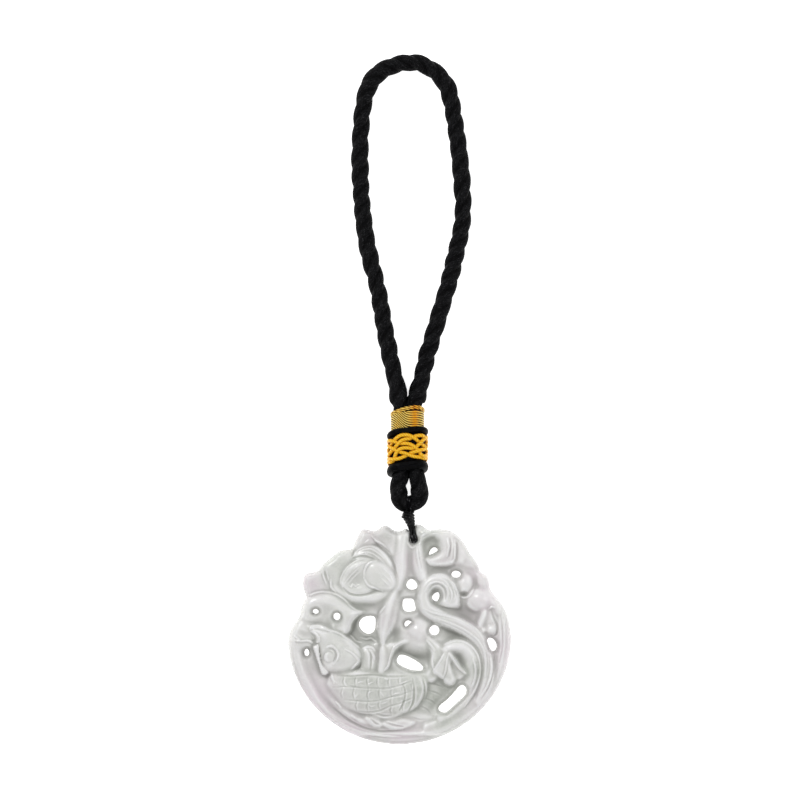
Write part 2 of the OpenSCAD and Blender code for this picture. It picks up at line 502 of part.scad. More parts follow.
module collar() {
    color([0.07, 0.07, 0.08]) oval_sleeve(collar_section);
}

// A point of the woven cord on the waist's oval; face is 1 in front and -1 behind
function knot_point(row, face) =
    let (
        r = knot_low_r + knot_rise * row[ON_TOP],
        past = max(0, abs(row[X]) - leg_half),
        z = sqrt(max(0, knot_low_r * knot_low_r - past * past)) * r / knot_low_r,
        x = sign(row[X]) * (min(abs(row[X]), leg_half) + past * r / knot_low_r)
    )
    [leg_mid + face * x, row[Y] + lean_x * face * x + lean_z * face * z, leg_z + face * z];

module gold_knot() {
    color([0.94, 0.7, 0.16])
        for (face = [1, -1], turn = knot_turns, i = [0 : len(turn) - 2])
            hull() {
                translate(knot_point(turn[i], face)) sphere(d = knot_d, $fn = 6);
                translate(knot_point(turn[i + 1], face)) sphere(d = knot_d, $fn = 6);
            }
}

// One stretch of flat thread band between two places
module band(from, to, w) {
    hull() {
        for (at = [from, to])
            translate(at)
                rotate([0, 90, 0])
                    cylinder(h = w, d = thread_d, center = true, $fn = 6);
    }
}

module tie_thread() {
    turn = [
        for (i = [0 : hitch_n])
            let (a = 360 * i / hitch_n)
            hitch_at + [0, hitch_r * cos(a), hitch_r * sin(a)]
    ];
    color([0.04, 0.04, 0.045]) {
        for (i = [0 : hitch_n - 1])
            band(turn[i], turn[i + 1], hitch_w);
        for (i = [0 : len(band_route) - 2])
            band(band_route[i], band_route[i + 1], band_w);
        hull()
            for (i = [0 : 2])
                translate(knot_balls[i]) sphere(d = knot_ball_d[i], $fn = 10);
    }
}

jade_disc();
hanging_loop();
gold_wrap();
collar();
gold_knot();
lower_loop();
tie_thread();
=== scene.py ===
"""Looks of the jadeite pendant: a carved, pierced disc of pale jade, tied below a loop of black twisted cord.

The tables are in millimetres in the part's own frame: the disc's flat back lies on z = 0 with the origin at
its middle, the carving faces +Z, and the cord loop runs away along +Y.
"""

import math

import bmesh
import bpy
import numpy as np
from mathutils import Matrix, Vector
from mathutils.geometry import delaunay_2d_cdt


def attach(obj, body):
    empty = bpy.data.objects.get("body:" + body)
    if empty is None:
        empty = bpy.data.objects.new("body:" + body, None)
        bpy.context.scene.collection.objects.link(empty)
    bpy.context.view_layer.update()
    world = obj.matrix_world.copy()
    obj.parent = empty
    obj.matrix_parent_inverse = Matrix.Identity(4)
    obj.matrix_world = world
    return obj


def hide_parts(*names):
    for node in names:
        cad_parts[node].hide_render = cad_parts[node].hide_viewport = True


MM = 0.001
TURN = 2 * math.pi

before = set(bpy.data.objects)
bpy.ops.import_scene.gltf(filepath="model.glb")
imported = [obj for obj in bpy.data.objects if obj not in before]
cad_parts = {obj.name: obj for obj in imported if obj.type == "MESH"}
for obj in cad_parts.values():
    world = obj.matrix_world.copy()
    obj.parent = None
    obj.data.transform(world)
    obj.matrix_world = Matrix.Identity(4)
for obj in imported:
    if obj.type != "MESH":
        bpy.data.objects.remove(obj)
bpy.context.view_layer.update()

# Camera: straight above, as in the photo, whose frame spans 208.4 mm
FRAME_SPAN = 208.4
FRAME_MIDDLE = (-0.26, 61.2)
CAMERA_HEIGHT = 1200
SCALE_PLANE = 3
SENSOR = 36


def add_object(name, data):
    obj = bpy.data.objects.new(name, data)
    bpy.context.scene.collection.objects.link(obj)
    return obj


def add_camera():
    data = bpy.data.cameras.new("Camera")
    data.sensor_width = SENSOR
    data.lens = SENSOR * (CAMERA_HEIGHT - SCALE_PLANE) / FRAME_SPAN
    data.clip_start = 0.05
    camera = add_object("Camera", data)
    camera.location = Vector((*FRAME_MIDDLE, CAMERA_HEIGHT)) * MM
    bpy.context.scene.camera = camera


add_camera()


# Paths and meshes


def smooth_path(rows, step=0.4, closed=False):
    """A Catmull-Rom curve through rows of any number of columns, in steps of about the given length."""
    rows = np.array(rows, float)
    if closed:
        around = np.vstack([rows[-1:], rows, rows[:2]])
    else:
        around = np.vstack([2 * rows[:1] - rows[1:2], rows, 2 * rows[-1:] - rows[-2:-1]])
    out = []
    for a, b, c, d in zip(around, around[1:], around[2:], around[3:]):
        pieces = max(1, math.ceil(np.linalg.norm((c - b)[:2]) / step))
        t = (np.arange(pieces) / pieces)[:, None]
        bend = (2 * a - 5 * b + 4 * c - d) * t**2 + (3 * b - a - 3 * c + d) * t**3
        out.append(0.5 * (2 * b + (c - a) * t + bend))
    if not closed:
        out.append(rows[-1:])
    return np.vstack(out)


def travel(points):
    """Distance along a line to each of its points."""
    return np.concatenate([[0], np.cumsum(np.linalg.norm(np.diff(points, axis=0), axis=1))])


def even_path(rows, step):
    """A smooth curve through rows of x, y, z and more, at an even step measured in space."""
    fine = smooth_path(rows, step / 4)
    lengths = travel(fine[:, :3])
    at = np.linspace(0, lengths[-1], max(2, round(lengths[-1] / step) + 1))
    return np.column_stack([np.interp(at, lengths, column) for column in fine.T]), at


def unit(v):
    return v / np.maximum(np.linalg.norm(v, axis=-1, keepdims=True), 1e-12)


def heading(line):
    return unit(np.gradient(line, axis=0))


def turns(count):
    """Evenly spaced angles of one whole turn."""
    return TURN * np.arange(count) / count


def rings_round(line, side, up, across, above):
    """Rings of points round a line, by how far each point lies along two directions across the line."""
    return line[:, None] + across[..., None] * side[:, None] + above[..., None] * up[:, None]


def tube_grid(rings, closed=False):
    """Faces of a skin over an array of rings with as many points each, capped unless it is closed."""
    m, n = rings.shape[:2]
    i, j = np.meshgrid(np.arange(m if closed else m - 1), np.arange(n), indexing="ij")
    i2, j2 = (i + 1) % m, (j + 1) % n
    quads = np.stack([i * n + j, i * n + j2, i2 * n + j2, i2 * n + j], -1).reshape(-1, 4).tolist()
    if closed:
        return quads
    return quads + [list(range(n))[::-1], list(range((m - 1) * n, m * n))]


def pressed(points):
    """Points of a soft piece, pressed flat where it meets the surface it lies on."""
    placed = np.array(points, float)
    placed[:, 2] = np.maximum(placed[:, 2], 0)
    return placed


def add_mesh(name, points, faces, material, smooth=True):
    mesh = bpy.data.meshes.new(name)
    mesh.from_pydata((np.asarray(points) * MM).tolist(), [], faces)
    mesh.update()
    if smooth:
        mesh.shade_smooth()
    mesh.materials.append(material)
    return add_object(name, mesh)


def add_values(obj, name, values):
    """A number for each point of a mesh, for its material to read."""
    layer = obj.data.attributes.new(name, "FLOAT", "POINT")
    layer.data.foreach_set("value", np.asarray(values, np.float32).ravel())


def settle(obj, node):
    """The piece stands for the part's node, whose own mesh it hides, and moves with the one body."""
    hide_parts(node)
    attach(obj, "root")


# Materials


class Surface:
    """A material, with the few kinds of node that the materials here are built from."""

    def __init__(self, name):
        self.material = bpy.data.materials.new(name)
        self.material.use_nodes = True
        self.tree = self.material.node_tree

    def fill(self, socket, value):
        """Links an output to the socket, or sets the socket's own number, colour or vector."""
        if isinstance(value, bpy.types.NodeSocket):
            self.tree.links.new(value, socket)
        else:
            socket.default_value = (*value, 1) if socket.type == "RGBA" else value

    def node(self, kind, **inputs):
        node = self.tree.nodes.new("ShaderNode" + kind)
        for name, value in inputs.items():
            self.fill(node.inputs[name.replace("_", " ")], value)
        return node

    def finish(self, **inputs):
        """Fills the shader's own inputs and gives the material."""
        shader = self.tree.nodes["Principled BSDF"]
        for name, value in inputs.items():
            self.fill(shader.inputs[name.replace("_", " ")], value)
        return self.material

    def value(self, name):
        node = self.node("Attribute")
        node.attribute_name = name
        return node.outputs["Fac"]

    def mix(self, factor, first, second):
        """Goes from the first colour to the second by the factor."""
        node = self.node("Mix")
        node.data_type = "RGBA"
        self.fill(node.inputs["Factor"], factor)
        self.fill(node.inputs[6], first)
        self.fill(node.inputs[7], second)
        return node.outputs[2]

    def remap(self, value, low, high, to_low=0, to_high=1):
        node = self.node("MapRange", Value=value, From_Min=low, From_Max=high, To_Min=to_low, To_Max=to_high)
        return node.outputs["Result"]

    def noise(self, scale, detail, rough, place=None):
        if place is None:
            place = self.node("TexCoord").outputs["Object"]
        return self.node("TexNoise", Vector=place, Scale=scale, Detail=detail, Roughness=rough).outputs["Fac"]

    def bump(self, height, distance, strength):
        return self.node("Bump", Height=height, Distance=distance, Strength=strength).outputs["Normal"]


def jade_material():
    """Pale stone with tinted patches, veins and grains, with painted shade in its hollows and a painted
    highlight on its crests.
    """
    s = Surface("jade")
    hollow = s.value("hollow")
    vein = s.noise(320, 5, 0.6)
    mottle = s.mix(s.remap(s.noise(620, 3, 0.6), 0.4, 0.62), (0.56, 0.59, 0.53), (0.74, 0.765, 0.7))
    body = s.mix(s.remap(s.noise(90, 4, 0.55), 0.35, 0.7), (0.785, 0.795, 0.762), (0.872, 0.864, 0.847))
    body = s.mix(s.value("lavender"), body, (0.825, 0.74, 0.792))
    body = s.mix(s.value("green"), body, mottle)
    body = s.mix(s.remap(vein, 0.6, 0.8, 0, 0.3), body, (0.93, 0.93, 0.92))
    body = s.mix(s.remap(s.noise(1400, 4, 0.7), 0.48, 0.7, 0, 0.22), body, (0.68, 0.69, 0.65))
    # painted highlight on the crests
    body = s.mix(s.value("crest"), body, (1, 0.997, 0.99))
    return s.finish(
        # painted shade in the hollows, grooves and low places and along the edges
        Base_Color=s.mix(hollow, body, (0.34, 0.345, 0.32)),
        Specular_IOR_Level=s.remap(hollow, 0, 0.9, 0.5, 0),
        Coat_Weight=s.remap(hollow, 0, 0.6, 0.1, 0),
        Coat_Roughness=0.08,
        Roughness=s.remap(vein, 0.3, 0.7, 0.24, 0.3),
        IOR=1.55,
        Subsurface_Weight=0.35,
        Subsurface_Radius=(1, 1, 0.95),
        Subsurface_Scale=0.0009,
        Normal=s.bump(s.noise(700, 4, 0.6), 0.00006, 0.5),
    )


def cord_material():
    """Near black, with fine fibres along each strand, grey flecks painted as glints, and painted shade in the
    grooves between the strands.
    """
    s = Surface("black_cord")
    place = s.node("CombineXYZ", X=s.value("fibre"), Y=s.value("along")).outputs["Vector"]
    fibres = s.noise(1, 3, 0.7, place)
    glint_specks = s.noise(2.3, 2, 0.6, place)
    color = s.mix(s.remap(fibres, 0.4, 0.75), (0.0015, 0.0015, 0.0017), (0.013, 0.013, 0.0145))
    # grey flecks painted on the fibres as glints
    color = s.mix(s.remap(glint_specks, 0.56, 0.7, 0, 0.8), color, (0.06, 0.06, 0.064))
    return s.finish(
        # painted shade in the grooves between the strands
        Base_Color=s.mix(s.value("groove"), color, (0.0006, 0.0006, 0.0007)),
        Roughness=s.remap(fibres, 0.3, 0.7, 0.7, 0.5),
        Specular_IOR_Level=0.045,
        Normal=s.bump(fibres, 0.00018, 0.7),
    )


def sleeve_material():
    """The collar's tight black binding, with fine turns round it."""
    s = Surface("black_collar")
    fine = s.noise(1500, 3, 0.6)
    return s.finish(
        Base_Color=s.mix(s.remap(fine, 0.45, 0.75), (0.001, 0.001, 0.0013), (0.005, 0.005, 0.007)),
        Roughness=s.remap(fine, 0.3, 0.7, 0.36, 0.5),
        Specular_IOR_Level=0.06,
        Normal=s.bump(s.value("turns"), 0.00005, 0.5),
    )


def yarn_material(name, deep, main, highlight_color, stain_and_shade, roughness, gloss):
    """Shiny twisted thread: painted shade in its grooves and a painted highlight on its plies; in places an
    orange stain on the wrap and painted shade on the knot.
    """
    s = Surface(name)
    ply = s.value("ply")
    # share of the orange stain on the wrap, and of the painted shade on the knot
    stain_and_shade_share = s.value("stain_and_shade")
    # painted shade in the grooves between plies and between turns
    color = s.mix(s.remap(ply, 0.15, 0.55), deep, s.mix(stain_and_shade_share, main, stain_and_shade))
    # painted highlight on the crests of the plies
    color = s.mix(s.remap(ply, 0.55, 1, 0, 0.85), color, s.mix(stain_and_shade_share, highlight_color, main))
    return s.finish(
        Base_Color=s.mix(s.remap(s.noise(330, 2, 0.5), 0.5, 0.75, 0, 0.4), color, main),
        Roughness=s.remap(ply, 0, 1, roughness + 0.1, roughness - 0.05),
        Specular_IOR_Level=gloss,
        Normal=s.bump(ply, 0.0001, 0.7),
    )


def waxed_material():
    """Black thread, a little lighter on its plies as a painted highlight, with grey flecks painted as glints;
    duller inside the lower loop.
    """
    s = Surface("waxed_thread")
    ply = s.value("ply")
    glint_noise = s.noise(1500, 2, 0.6)
    # a little lighter on the plies' crests: painted highlight
    color = s.mix(ply, (0.001, 0.001, 0.0012), (0.004, 0.004, 0.005))
    return s.finish(
        # grey flecks painted as glints
        Base_Color=s.mix(s.remap(glint_noise, 0.58, 0.7, 0, 0.6), color, (0.14, 0.14, 0.15)),
        Roughness=s.remap(glint_noise, 0.4, 0.7, 0.35, 0.2),
        Specular_IOR_Level=s.remap(s.value("dull"), 0, 1, 0.2, 0.02),
        Normal=s.bump(ply, 0.0001, 0.6),
    )


# Cords: the routes are rows of x, y, z and thickness

CORD_D = 4.2
# The big loop's way where it lies on the surface: x, y
LOOP_LYING = [
    (-4.2, 79.5), (-6.1, 90.4), (-8.5, 100), (-9.8, 108.6), (-10.5, 117), (-10.7, 125), (-10.4, 132.6),
    (-9.6, 139), (-8.3, 143.2), (-5.8, 146.4), (-1.9, 148.4), (2.6, 149.2), (6, 148.5), (8.8, 146.8),
    (11.1, 144.4), (12.5, 141.5), (13.3, 138), (14.3, 132), (15.3, 124.5), (15.9, 117.5), (16.2, 111),
    (15.7, 105.6), (14.4, 99.8), (12.7, 92.6), (10.7, 85.8), (8.9, 79.8),
]
LYING_Z = 2.2
LOOP_ROUTE = [
    (-0.2, 48.1, 3.6, 3.7), (-0.2, 53.5, 3.6, 3.7), (-0.2, 59.2, 3.6, 3.7), (-0.5, 61.6, 3.5, 4.7),
    (-1.2, 65.4, 3, 4.2), (-2.5, 71, 2.4, 4.2),
    *((x, y, LYING_Z, CORD_D) for x, y in LOOP_LYING),
    (6.7, 72.4, 2.4, 4.2), (5.5, 67.2, 2.9, 4.2), (4.1, 62, 3.4, 4.7), (3.6, 60, 3.6, 3.8),
    (3.6, 53.5, 3.6, 3.7), (3.6, 48.1, 3.6, 3.7),
]
LOWER_ROUTE = [
    (-0.2, 47.9, 3.6, 3.7), (-0.2, 44, 3.6, 3.7), (-0.05, 41.6, 3.6, 4.15), (-0.6, 39.2, 3.4, 4.2),
    (-0.65, 37.2, 3.3, 4.6), (-0.4, 35.7, 3.2, 4.6), (0.7, 34.4, 3.2, 4.3), (2, 34.05, 3.2, 4.1),
    (3.4, 34.3, 3.2, 4.3), (4.5, 35.5, 3.2, 4.7), (4.75, 37.2, 3.3, 4.9), (4.8, 39, 3.4, 4.4),
    (4, 41.4, 3.6, 4.2), (3.7, 42.7, 3.6, 3.8), (3.6, 44, 3.6, 3.7), (3.6, 47.9, 3.6, 3.7),
]
ROPE_LAY = 14.6
ROPE_STEP = 0.4
ROPE_SIDES = 60
# Yarns round the cord, the length in which they turn past one another, and how far they stand out
YARNS = 24
YARN_LAY = 3.1
YARN_RISE = 0.012
# Slow waves in the twist and in the thickness: strength, length
TWIST_WAVES = ((0.25, 5.3), (0.2, 8.9))
SIZE_WAVES = ((0.02, 3.7), (0.015, 1.9))
# Lengths of the two waves in how far the strands lie apart
SPREAD_WAVES = (6.1, 3.3)
# How fine the fibres' pattern is, round the cord and along it, and how dark the painted shade in the grooves
# is
FIBRES_ROUND = 6
FIBRES_ALONG = 0.8
GROOVE_SHADE = 0.8


def waves(at, rows):
    return sum(strength * np.sin(at / length) for strength, length in rows)


def lobed(angle, spread):
    """Outline of three round strands pressed together, as a share of the cord's radius."""
    a = np.mod(angle + TURN / 6, TURN / 3) - TURN / 6
    return spread * np.cos(a) + np.sqrt((1 - spread) ** 2 - (spread * np.sin(a)) ** 2)


def rope(name, route, spread, uneven, swell, phase=0.0):
    """Twisted cord along the route: three strands laid right-handed, each with small yarns showing on it."""
    rows, at = even_path(route, ROPE_STEP)
    centre, size = rows[:, :3], rows[:, 3] * swell
    centre[:, 2] = np.maximum(centre[:, 2], size / 2)
    side = unit(np.cross([0, 0, 1], heading(centre)))
    a = turns(ROPE_SIDES)
    turned = a - (phase + TURN * at / ROPE_LAY + waves(at, TWIST_WAVES))[:, None]
    yarn = np.cos(YARNS * turned + TURN * at[:, None] / YARN_LAY)
    apart = spread + uneven * (np.sin(at / SPREAD_WAVES[0] + 1) + np.sin(at / SPREAD_WAVES[1])) / 2
    lobes = (1 + waves(at, SIZE_WAVES))[:, None] * lobed(turned, apart[:, None])
    r = size[:, None] / 2 * (lobes + YARN_RISE * yarn)
    ring = rings_round(centre, side, np.cross(heading(centre), side), r * np.cos(a), r * np.sin(a))
    obj = add_mesh(name, pressed(ring.reshape(-1, 3)), tube_grid(ring), black_cord)
    add_values(obj, "fibre", np.mod(turned, TURN) * FIBRES_ROUND)
    add_values(obj, "along", np.repeat(at * FIBRES_ALONG, ROPE_SIDES))
    # painted shade in the grooves between the three strands
    add_values(obj, "groove", GROOVE_SHADE * np.clip(-0.2 - 1.1 * np.cos(3 * turned), 0, 1))
    return obj, centre


black_cord = cord_material()
loop, loop_line = rope("hanging_loop_cord", LOOP_ROUTE, spread=0.32, uneven=0.1, swell=1.1)
settle(loop, "hanging_loop")
lower, _ = rope("lower_loop_cord", LOWER_ROUTE, spread=0.28, uneven=0, swell=1.05, phase=1)
settle(lower, "lower_loop")


# Bindings round the two cord legs, on a leaning oval

LEG_MID = 1.7
LEG_HALF = 1.9
LEG_Z = 3.6
LEAN_X = 0.115
LEAN_Z = 0.35


def on_oval(turn, r, place):
    """The leaning oval's points after each turn, and the directions that point out of it there.

    It is two half circles at a distance r from the middles of the legs, joined by straight stretches.
    """
    straight = 2 * LEG_HALF
    arc = math.pi * r
    s = np.mod(turn / TURN, 1) * 2 * (straight + arc)
    parts = [s < arc, s < arc + straight, s < 2 * arc + straight]
    quarter = np.full(s.shape, TURN / 4)
    middle = np.full(s.shape, LEG_HALF)
    a = np.select(parts, [s / r - quarter, quarter, (s - arc - straight) / r + quarter], -TURN / 4)
    x = np.select(parts, [middle, middle - (s - arc), -middle], -LEG_HALF + (s - 2 * arc - straight))
    x = x + r * np.cos(a)
    z = r * np.sin(a)
    out = np.stack([np.cos(a), 0 * a, np.sin(a)], -1)
    return np.stack([LEG_MID + x, place + LEAN_X * x + LEAN_Z * z, LEG_Z + z], -1), out


def oval_ring(r, place, count):
    """Evenly spaced points of the leaning oval."""
    return on_oval(turns(count) + TURN / 2 / count, r, place)[0]


# How much a thread's section swells where a ply stands out
PLY_SWELL = 0.1


def thread_tube(line, out, wide, thick, sides=10, plies=2, lay=1.6, start=0.0):
    """A twisted thread along a line, as its rings of points and how high each of them stands on its ply.

    Its section is an oval, flat against the surface that out points away from.
    """
    tangent = heading(line)
    out = unit(out - (out * tangent).sum(1, keepdims=True) * tangent)
    a = turns(sides)
    ply = 0.5 + 0.5 * np.cos(plies * (a - TURN * travel(line)[:, None] / lay / plies + start))
    grow = 1 + PLY_SWELL * (ply - 0.5)
    across = grow * wide / 2 * np.sin(a)
    return rings_round(line, np.cross(tangent, out), out, across, grow * thick / 2 * np.cos(a)), ply


def add_threads(name, strands, material, closed=False):
    """One piece made of several strands."""
    points, faces = [], []
    for ring, _ in strands:
        start = sum(map(len, points))
        faces += [[k + start for k in face] for face in tube_grid(ring, closed)]
        points.append(ring.reshape(-1, 3))
    points = pressed(np.vstack(points))
    obj = add_mesh(name, points, faces, material)
    add_values(obj, "ply", np.concatenate([ply.ravel() for _, ply in strands]))
    return obj, points


WRAP_LOW = 53.2
WRAP_HIGH = 57.45
WRAP_STEP = 0.07
WRAP_SIDES = 300
WRAP_R = 2.38
WRAP_RIB = 0.06
# Threads to a millimetre along the legs, and how much the turns lean and how far they slant on the left
WRAP_RISE = 1.65
WRAP_LEAN = 0.06
WRAP_SLANT = 1.75
# The threads' heights over each turn: their middle, their wave, and the least height in the stain
PLY_MIDDLE = 0.44
PLY_WAVE = 1.2
STAIN_PLY = 0.3
# Where the slanting turns become level, and over what width
LEVEL_X = 1.4
LEVEL_WIDTH = 0.5
# Single turns: place along the legs, thickness, distance from the middle of a leg
TOP_TURNS = ((57.6, 0.5, 2.34), (58.05, 0.52, 2.36))
TOP_POINTS = 84
TOP_OVERLAP = 1.04
TOP_FLATNESS = 0.9
TOP_RISE = 0.1
TOP_ARCH = 0.45
TOP_ARCH_X = 2.9
TOP_ARCH_HALF = 3.4
WARM_X = 3.6
WARM_HALF = 1.15
# Colours: painted shade between the turns, main, painted highlight on their crowns, the orange stain
WRAP_COLORS = ((0.02, 0.006, 0.0003), (1, 0.5, 0.015), (1, 0.88, 0.26), (1, 0.32, 0.002))


def stain(x):
    """Strength of the orange stain down the right side of the wrap."""
    return np.exp(-(((x - WARM_X) / WARM_HALF) ** 2))


def add_gold_wrap():
    """Wound threads lie aslant on the left and level on the right; two single turns cross above them."""
    rows, plies = [], []
    for place in np.arange(WRAP_HIGH, WRAP_LOW, -WRAP_STEP):
        x = oval_ring(WRAP_R, place, WRAP_SIDES)[:, 0]
        aslant = x - LEVEL_WIDTH * np.log1p(np.exp((x - LEVEL_X) / LEVEL_WIDTH))
        phase = TURN * (WRAP_RISE * (place + WRAP_LEAN * x) + WRAP_SLANT * aslant)
        ply = np.clip(PLY_MIDDLE + PLY_WAVE * np.cos(phase), STAIN_PLY * stain(x), 1)
        rows.append(oval_ring(WRAP_R + WRAP_RIB * ply, place, WRAP_SIDES))
        plies.append(ply)
    strands = [(np.array(rows), np.array(plies))]
    around = np.linspace(0, TURN * TOP_OVERLAP, TOP_POINTS)
    for place, size, r in TOP_TURNS:
        line, out = on_oval(around, r, place + TOP_RISE * around / TURN)
        line[:, 1] += TOP_ARCH * np.maximum(1 - ((line[:, 0] - TOP_ARCH_X) / TOP_ARCH_HALF) ** 2, -0.3)
        strands.append(thread_tube(line, out, size, size * TOP_FLATNESS, lay=1.2))
    material = yarn_material("gold_thread", *WRAP_COLORS, roughness=0.32, gloss=0.3)
    obj, points = add_threads("gold_wrap_turns", strands, material)
    add_values(obj, "stain_and_shade", stain(points[:, 0]))
    settle(obj, "gold_wrap")


# Section of the collar from its lower roll to its upper: distance from a leg's middle, place along it
COLLAR_SECTION = [
    (2, 42.5), (2.3, 42.1), (2.9, 42.1), (3.3, 42.4), (3.5, 42.9), (3.5, 43.4), (3.3, 44), (2.9, 44.4),
    (2.62, 44.6), (2.6, 45), (2.6, 48), (2.6, 51), (2.62, 51.4), (2.8, 51.55), (3.25, 51.75), (3.48, 52.2),
    (3.45, 52.65), (3.2, 53), (2.7, 53.2), (2.3, 53.15), (2, 52.8),
]
COLLAR_SIDES = 120
COLLAR_PITCH = 0.42
COLLAR_RIB = 0.006


def add_collar():
    rows = smooth_path(COLLAR_SECTION, 0.12)
    rib = 0.5 + 0.5 * np.cos(TURN * travel(rows) / COLLAR_PITCH)
    rings = np.array([oval_ring(r + COLLAR_RIB * (w - 0.5), v, COLLAR_SIDES) for (r, v), w in zip(rows, rib)])
    faces = [f[::-1] for f in tube_grid(rings, closed=True)]
    obj = add_mesh("collar_sleeve", rings.reshape(-1, 3), faces, sleeve_material())
    add_values(obj, "turns", np.repeat(rib, COLLAR_SIDES))
    settle(obj, "collar")


# Half turns of the woven cord as they cross the front: x and y seen from above, low (0) or on top (1)
KNOT_TURNS = [
    [(-3.25, 48, 0.6), (-2.9, 48.9, 0), (-2.4, 49.7, 0), (-2, 50.4, 0), (-1.3, 51.2, 0.7), (-0.2, 51.95, 1),
     (1.05, 52.15, 1), (2.2, 52, 1), (3, 51.6, 1), (3.95, 50.95, 0.8), (4.8, 50.2, 0.1), (5.6, 49.5, 0.5),
     (6.1, 49.1, 0.6)],
    [(-3.25, 46.6, 0.6), (-2.9, 47.3, 0.9), (-2.3, 48, 0.5), (-1.75, 48.6, 0), (-1.2, 49.3, 0.7),
     (-0.55, 50.1, 1), (0.1, 50.7, 1), (1.1, 51.05, 0.9), (2.2, 51.15, 0.5), (3, 51.5, 0),
     (3.8, 51.85, 0.6), (4.9, 52, 1), (5.8, 51.8, 1)],
    [(-3.25, 49.3, 0.6), (-2.8, 48.95, 1), (-1.8, 48.4, 1), (-1.2, 48.1, 0.5), (-0.8, 47.9, 0),
     (-0.1, 47.65, 0.5), (1, 47.4, 1), (1.9, 47.05, 1), (3, 46.65, 1), (4.1, 46.45, 0.8), (5.1, 46.3, 0.2),
     (6, 46, 0.4)],
    [(-3.25, 44.9, 0.5), (-2.7, 45, 0.4), (-2.1, 45.3, 0.1), (-1.65, 45.9, 0), (-1.5, 46.8, 0.8),
     (-1.1, 47.7, 1), (-0.4, 48.4, 1), (0.6, 48.75, 1), (1.8, 48.75, 1), (2.9, 48.6, 0.5), (3.7, 48.9, 0),
     (4.3, 49.4, 0.7), (5, 50, 1), (5.6, 50.7, 1), (6.1, 51.1, 0.6)],
    [(-3.25, 50.4, 0.6), (-2.9, 50.6, 1), (-2.1, 50.5, 1), (-1.3, 50.25, 0.7), (-0.5, 50, 0),
     (0.2, 49.85, 0.3), (1.05, 49.95, 0.9), (2.1, 49.8, 1), (3, 49.4, 1), (3.7, 48.9, 1), (4.2, 48.4, 0.5),
     (4.6, 47.9, 0), (5, 47.3, 0.6), (5.5, 46.8, 1), (6.1, 46.6, 0.7)],
    [(-3.25, 45.8, 0.6), (-2.6, 45.8, 1), (-1.65, 45.85, 1), (-0.6, 46, 1), (0.3, 46.3, 0.6),
     (1.2, 46.7, 0.1), (1.9, 47.05, 0), (2.7, 47.5, 0.5), (3.5, 47.75, 1), (4.5, 48, 1), (5.3, 48.3, 1),
     (6.1, 48.4, 0.6)],
]
KNOT_LOW_R = 2.7
KNOT_RISE = 0.54
KNOT_WIDE = 0.97
KNOT_THICK = 0.82
KNOT_SIDES = 16
# Colours: painted shade in the plies' grooves, main, painted highlight on their crests, painted shade low in
# the knot and on its strands' sides
KNOT_COLORS = ((0.94, 0.43, 0.005), (1, 0.52, 0.008), (1, 0.8, 0.08), (0.42, 0.075, 0.001))
# Painted shade on the cord, in its darker red: below this distance from the legs, over this height, and on
# the sides of each strand
KNOT_SHADE_R = 3.15
KNOT_SHADE_DEEP = 0.5
KNOT_SHADE_SIDES = (1.55, 1.8)


def knot_point(x, y, up, face):
    """A place on the knot; on the back face it is the front's place turned half round."""
    x = x - LEG_MID
    past = max(0, abs(x) - LEG_HALF)
    z = math.sqrt(max(0, (KNOT_LOW_R + KNOT_RISE * up) ** 2 - past**2))
    lean = LEAN_X * x + LEAN_Z * z
    return LEG_MID + face * x, y - lean + face * lean, LEG_Z + face * z


def add_gold_knot():
    """Two cords, each three times round: half turns cross the front or, turned half round, the back."""
    strands = []
    for face in (1, -1):
        rows = [knot_point(*place, face * (-1) ** i) for i, turn in enumerate(KNOT_TURNS) for place in turn]
        fine = smooth_path(rows, 0.2, closed=True)
        line = np.vstack([fine[-1:], fine, fine[:1]])
        x, z = line[:, 0] - LEG_MID, line[:, 2] - LEG_Z
        out = unit(np.stack([x - np.clip(x, -LEG_HALF, LEG_HALF), 0 * x, z], -1))
        ring, ply = thread_tube(line, out, KNOT_WIDE, KNOT_THICK, KNOT_SIDES, plies=3, lay=0.7, start=face)
        strands.append((ring[1:-1], ply[1:-1]))
    material = yarn_material("yellow_cord", *KNOT_COLORS, roughness=0.34, gloss=0.25)
    obj, points = add_threads("gold_knot_cords", strands, material, closed=True)
    away = np.maximum(0, np.abs(points[:, 0] - LEG_MID) - LEG_HALF)
    height = np.hypot(away, points[:, 2] - LEG_Z)
    outward = np.tile(np.cos(turns(KNOT_SIDES)), len(points) // KNOT_SIDES)
    most, fall = KNOT_SHADE_SIDES
    # painted shade low in the knot and on the sides of each strand
    stain_and_shade = np.maximum((KNOT_SHADE_R - height) / KNOT_SHADE_DEEP, most - fall * outward)
    add_values(obj, "stain_and_shade", np.clip(stain_and_shade, 0, 1))
    settle(obj, "gold_knot")


THREAD_D = 0.85
THREAD_ROUTE = [
    (2, 31.4, 4.3), (2.2, 30.2, 4.4), (2.6, 28.9, 4.5), (2.9, 27.6, 4.6), (3.1, 26.2, 4.7),
    (3.25, 25.3, 4.75), (3.35, 24.65, 4.55), (3.4, 24.45, 3.7), (3.35, 24.85, 2.4), (3.3, 25.3, 1.2),
    (3.2, 25.9, 0.65), (2.9, 27, 0.6), (2.5, 28.6, 1), (2.1, 29.9, 2.2), (1.9, 30.9, 3.2),
]
THREAD_APART = 0.39
THREAD_SPLAY = 0.08
SPLAY_FROM = 25
SPLAY_LENGTH = 4
THREAD_WAVER = 0.05
WAVER_PITCH = 2.1
# Thread round the bottom of the lower loop: its middle, half height and half depth, each turn's shift and
# lean, and the thread's width and thickness
HITCH = (2, 34, 3.2)
HITCH_HIGH = 2.1
HITCH_DEEP = 2.22
HITCH_TURNS = ((-0.36, 0.12), (0.36, -0.1))
HITCH_SIZE = (0.6, 0.5)
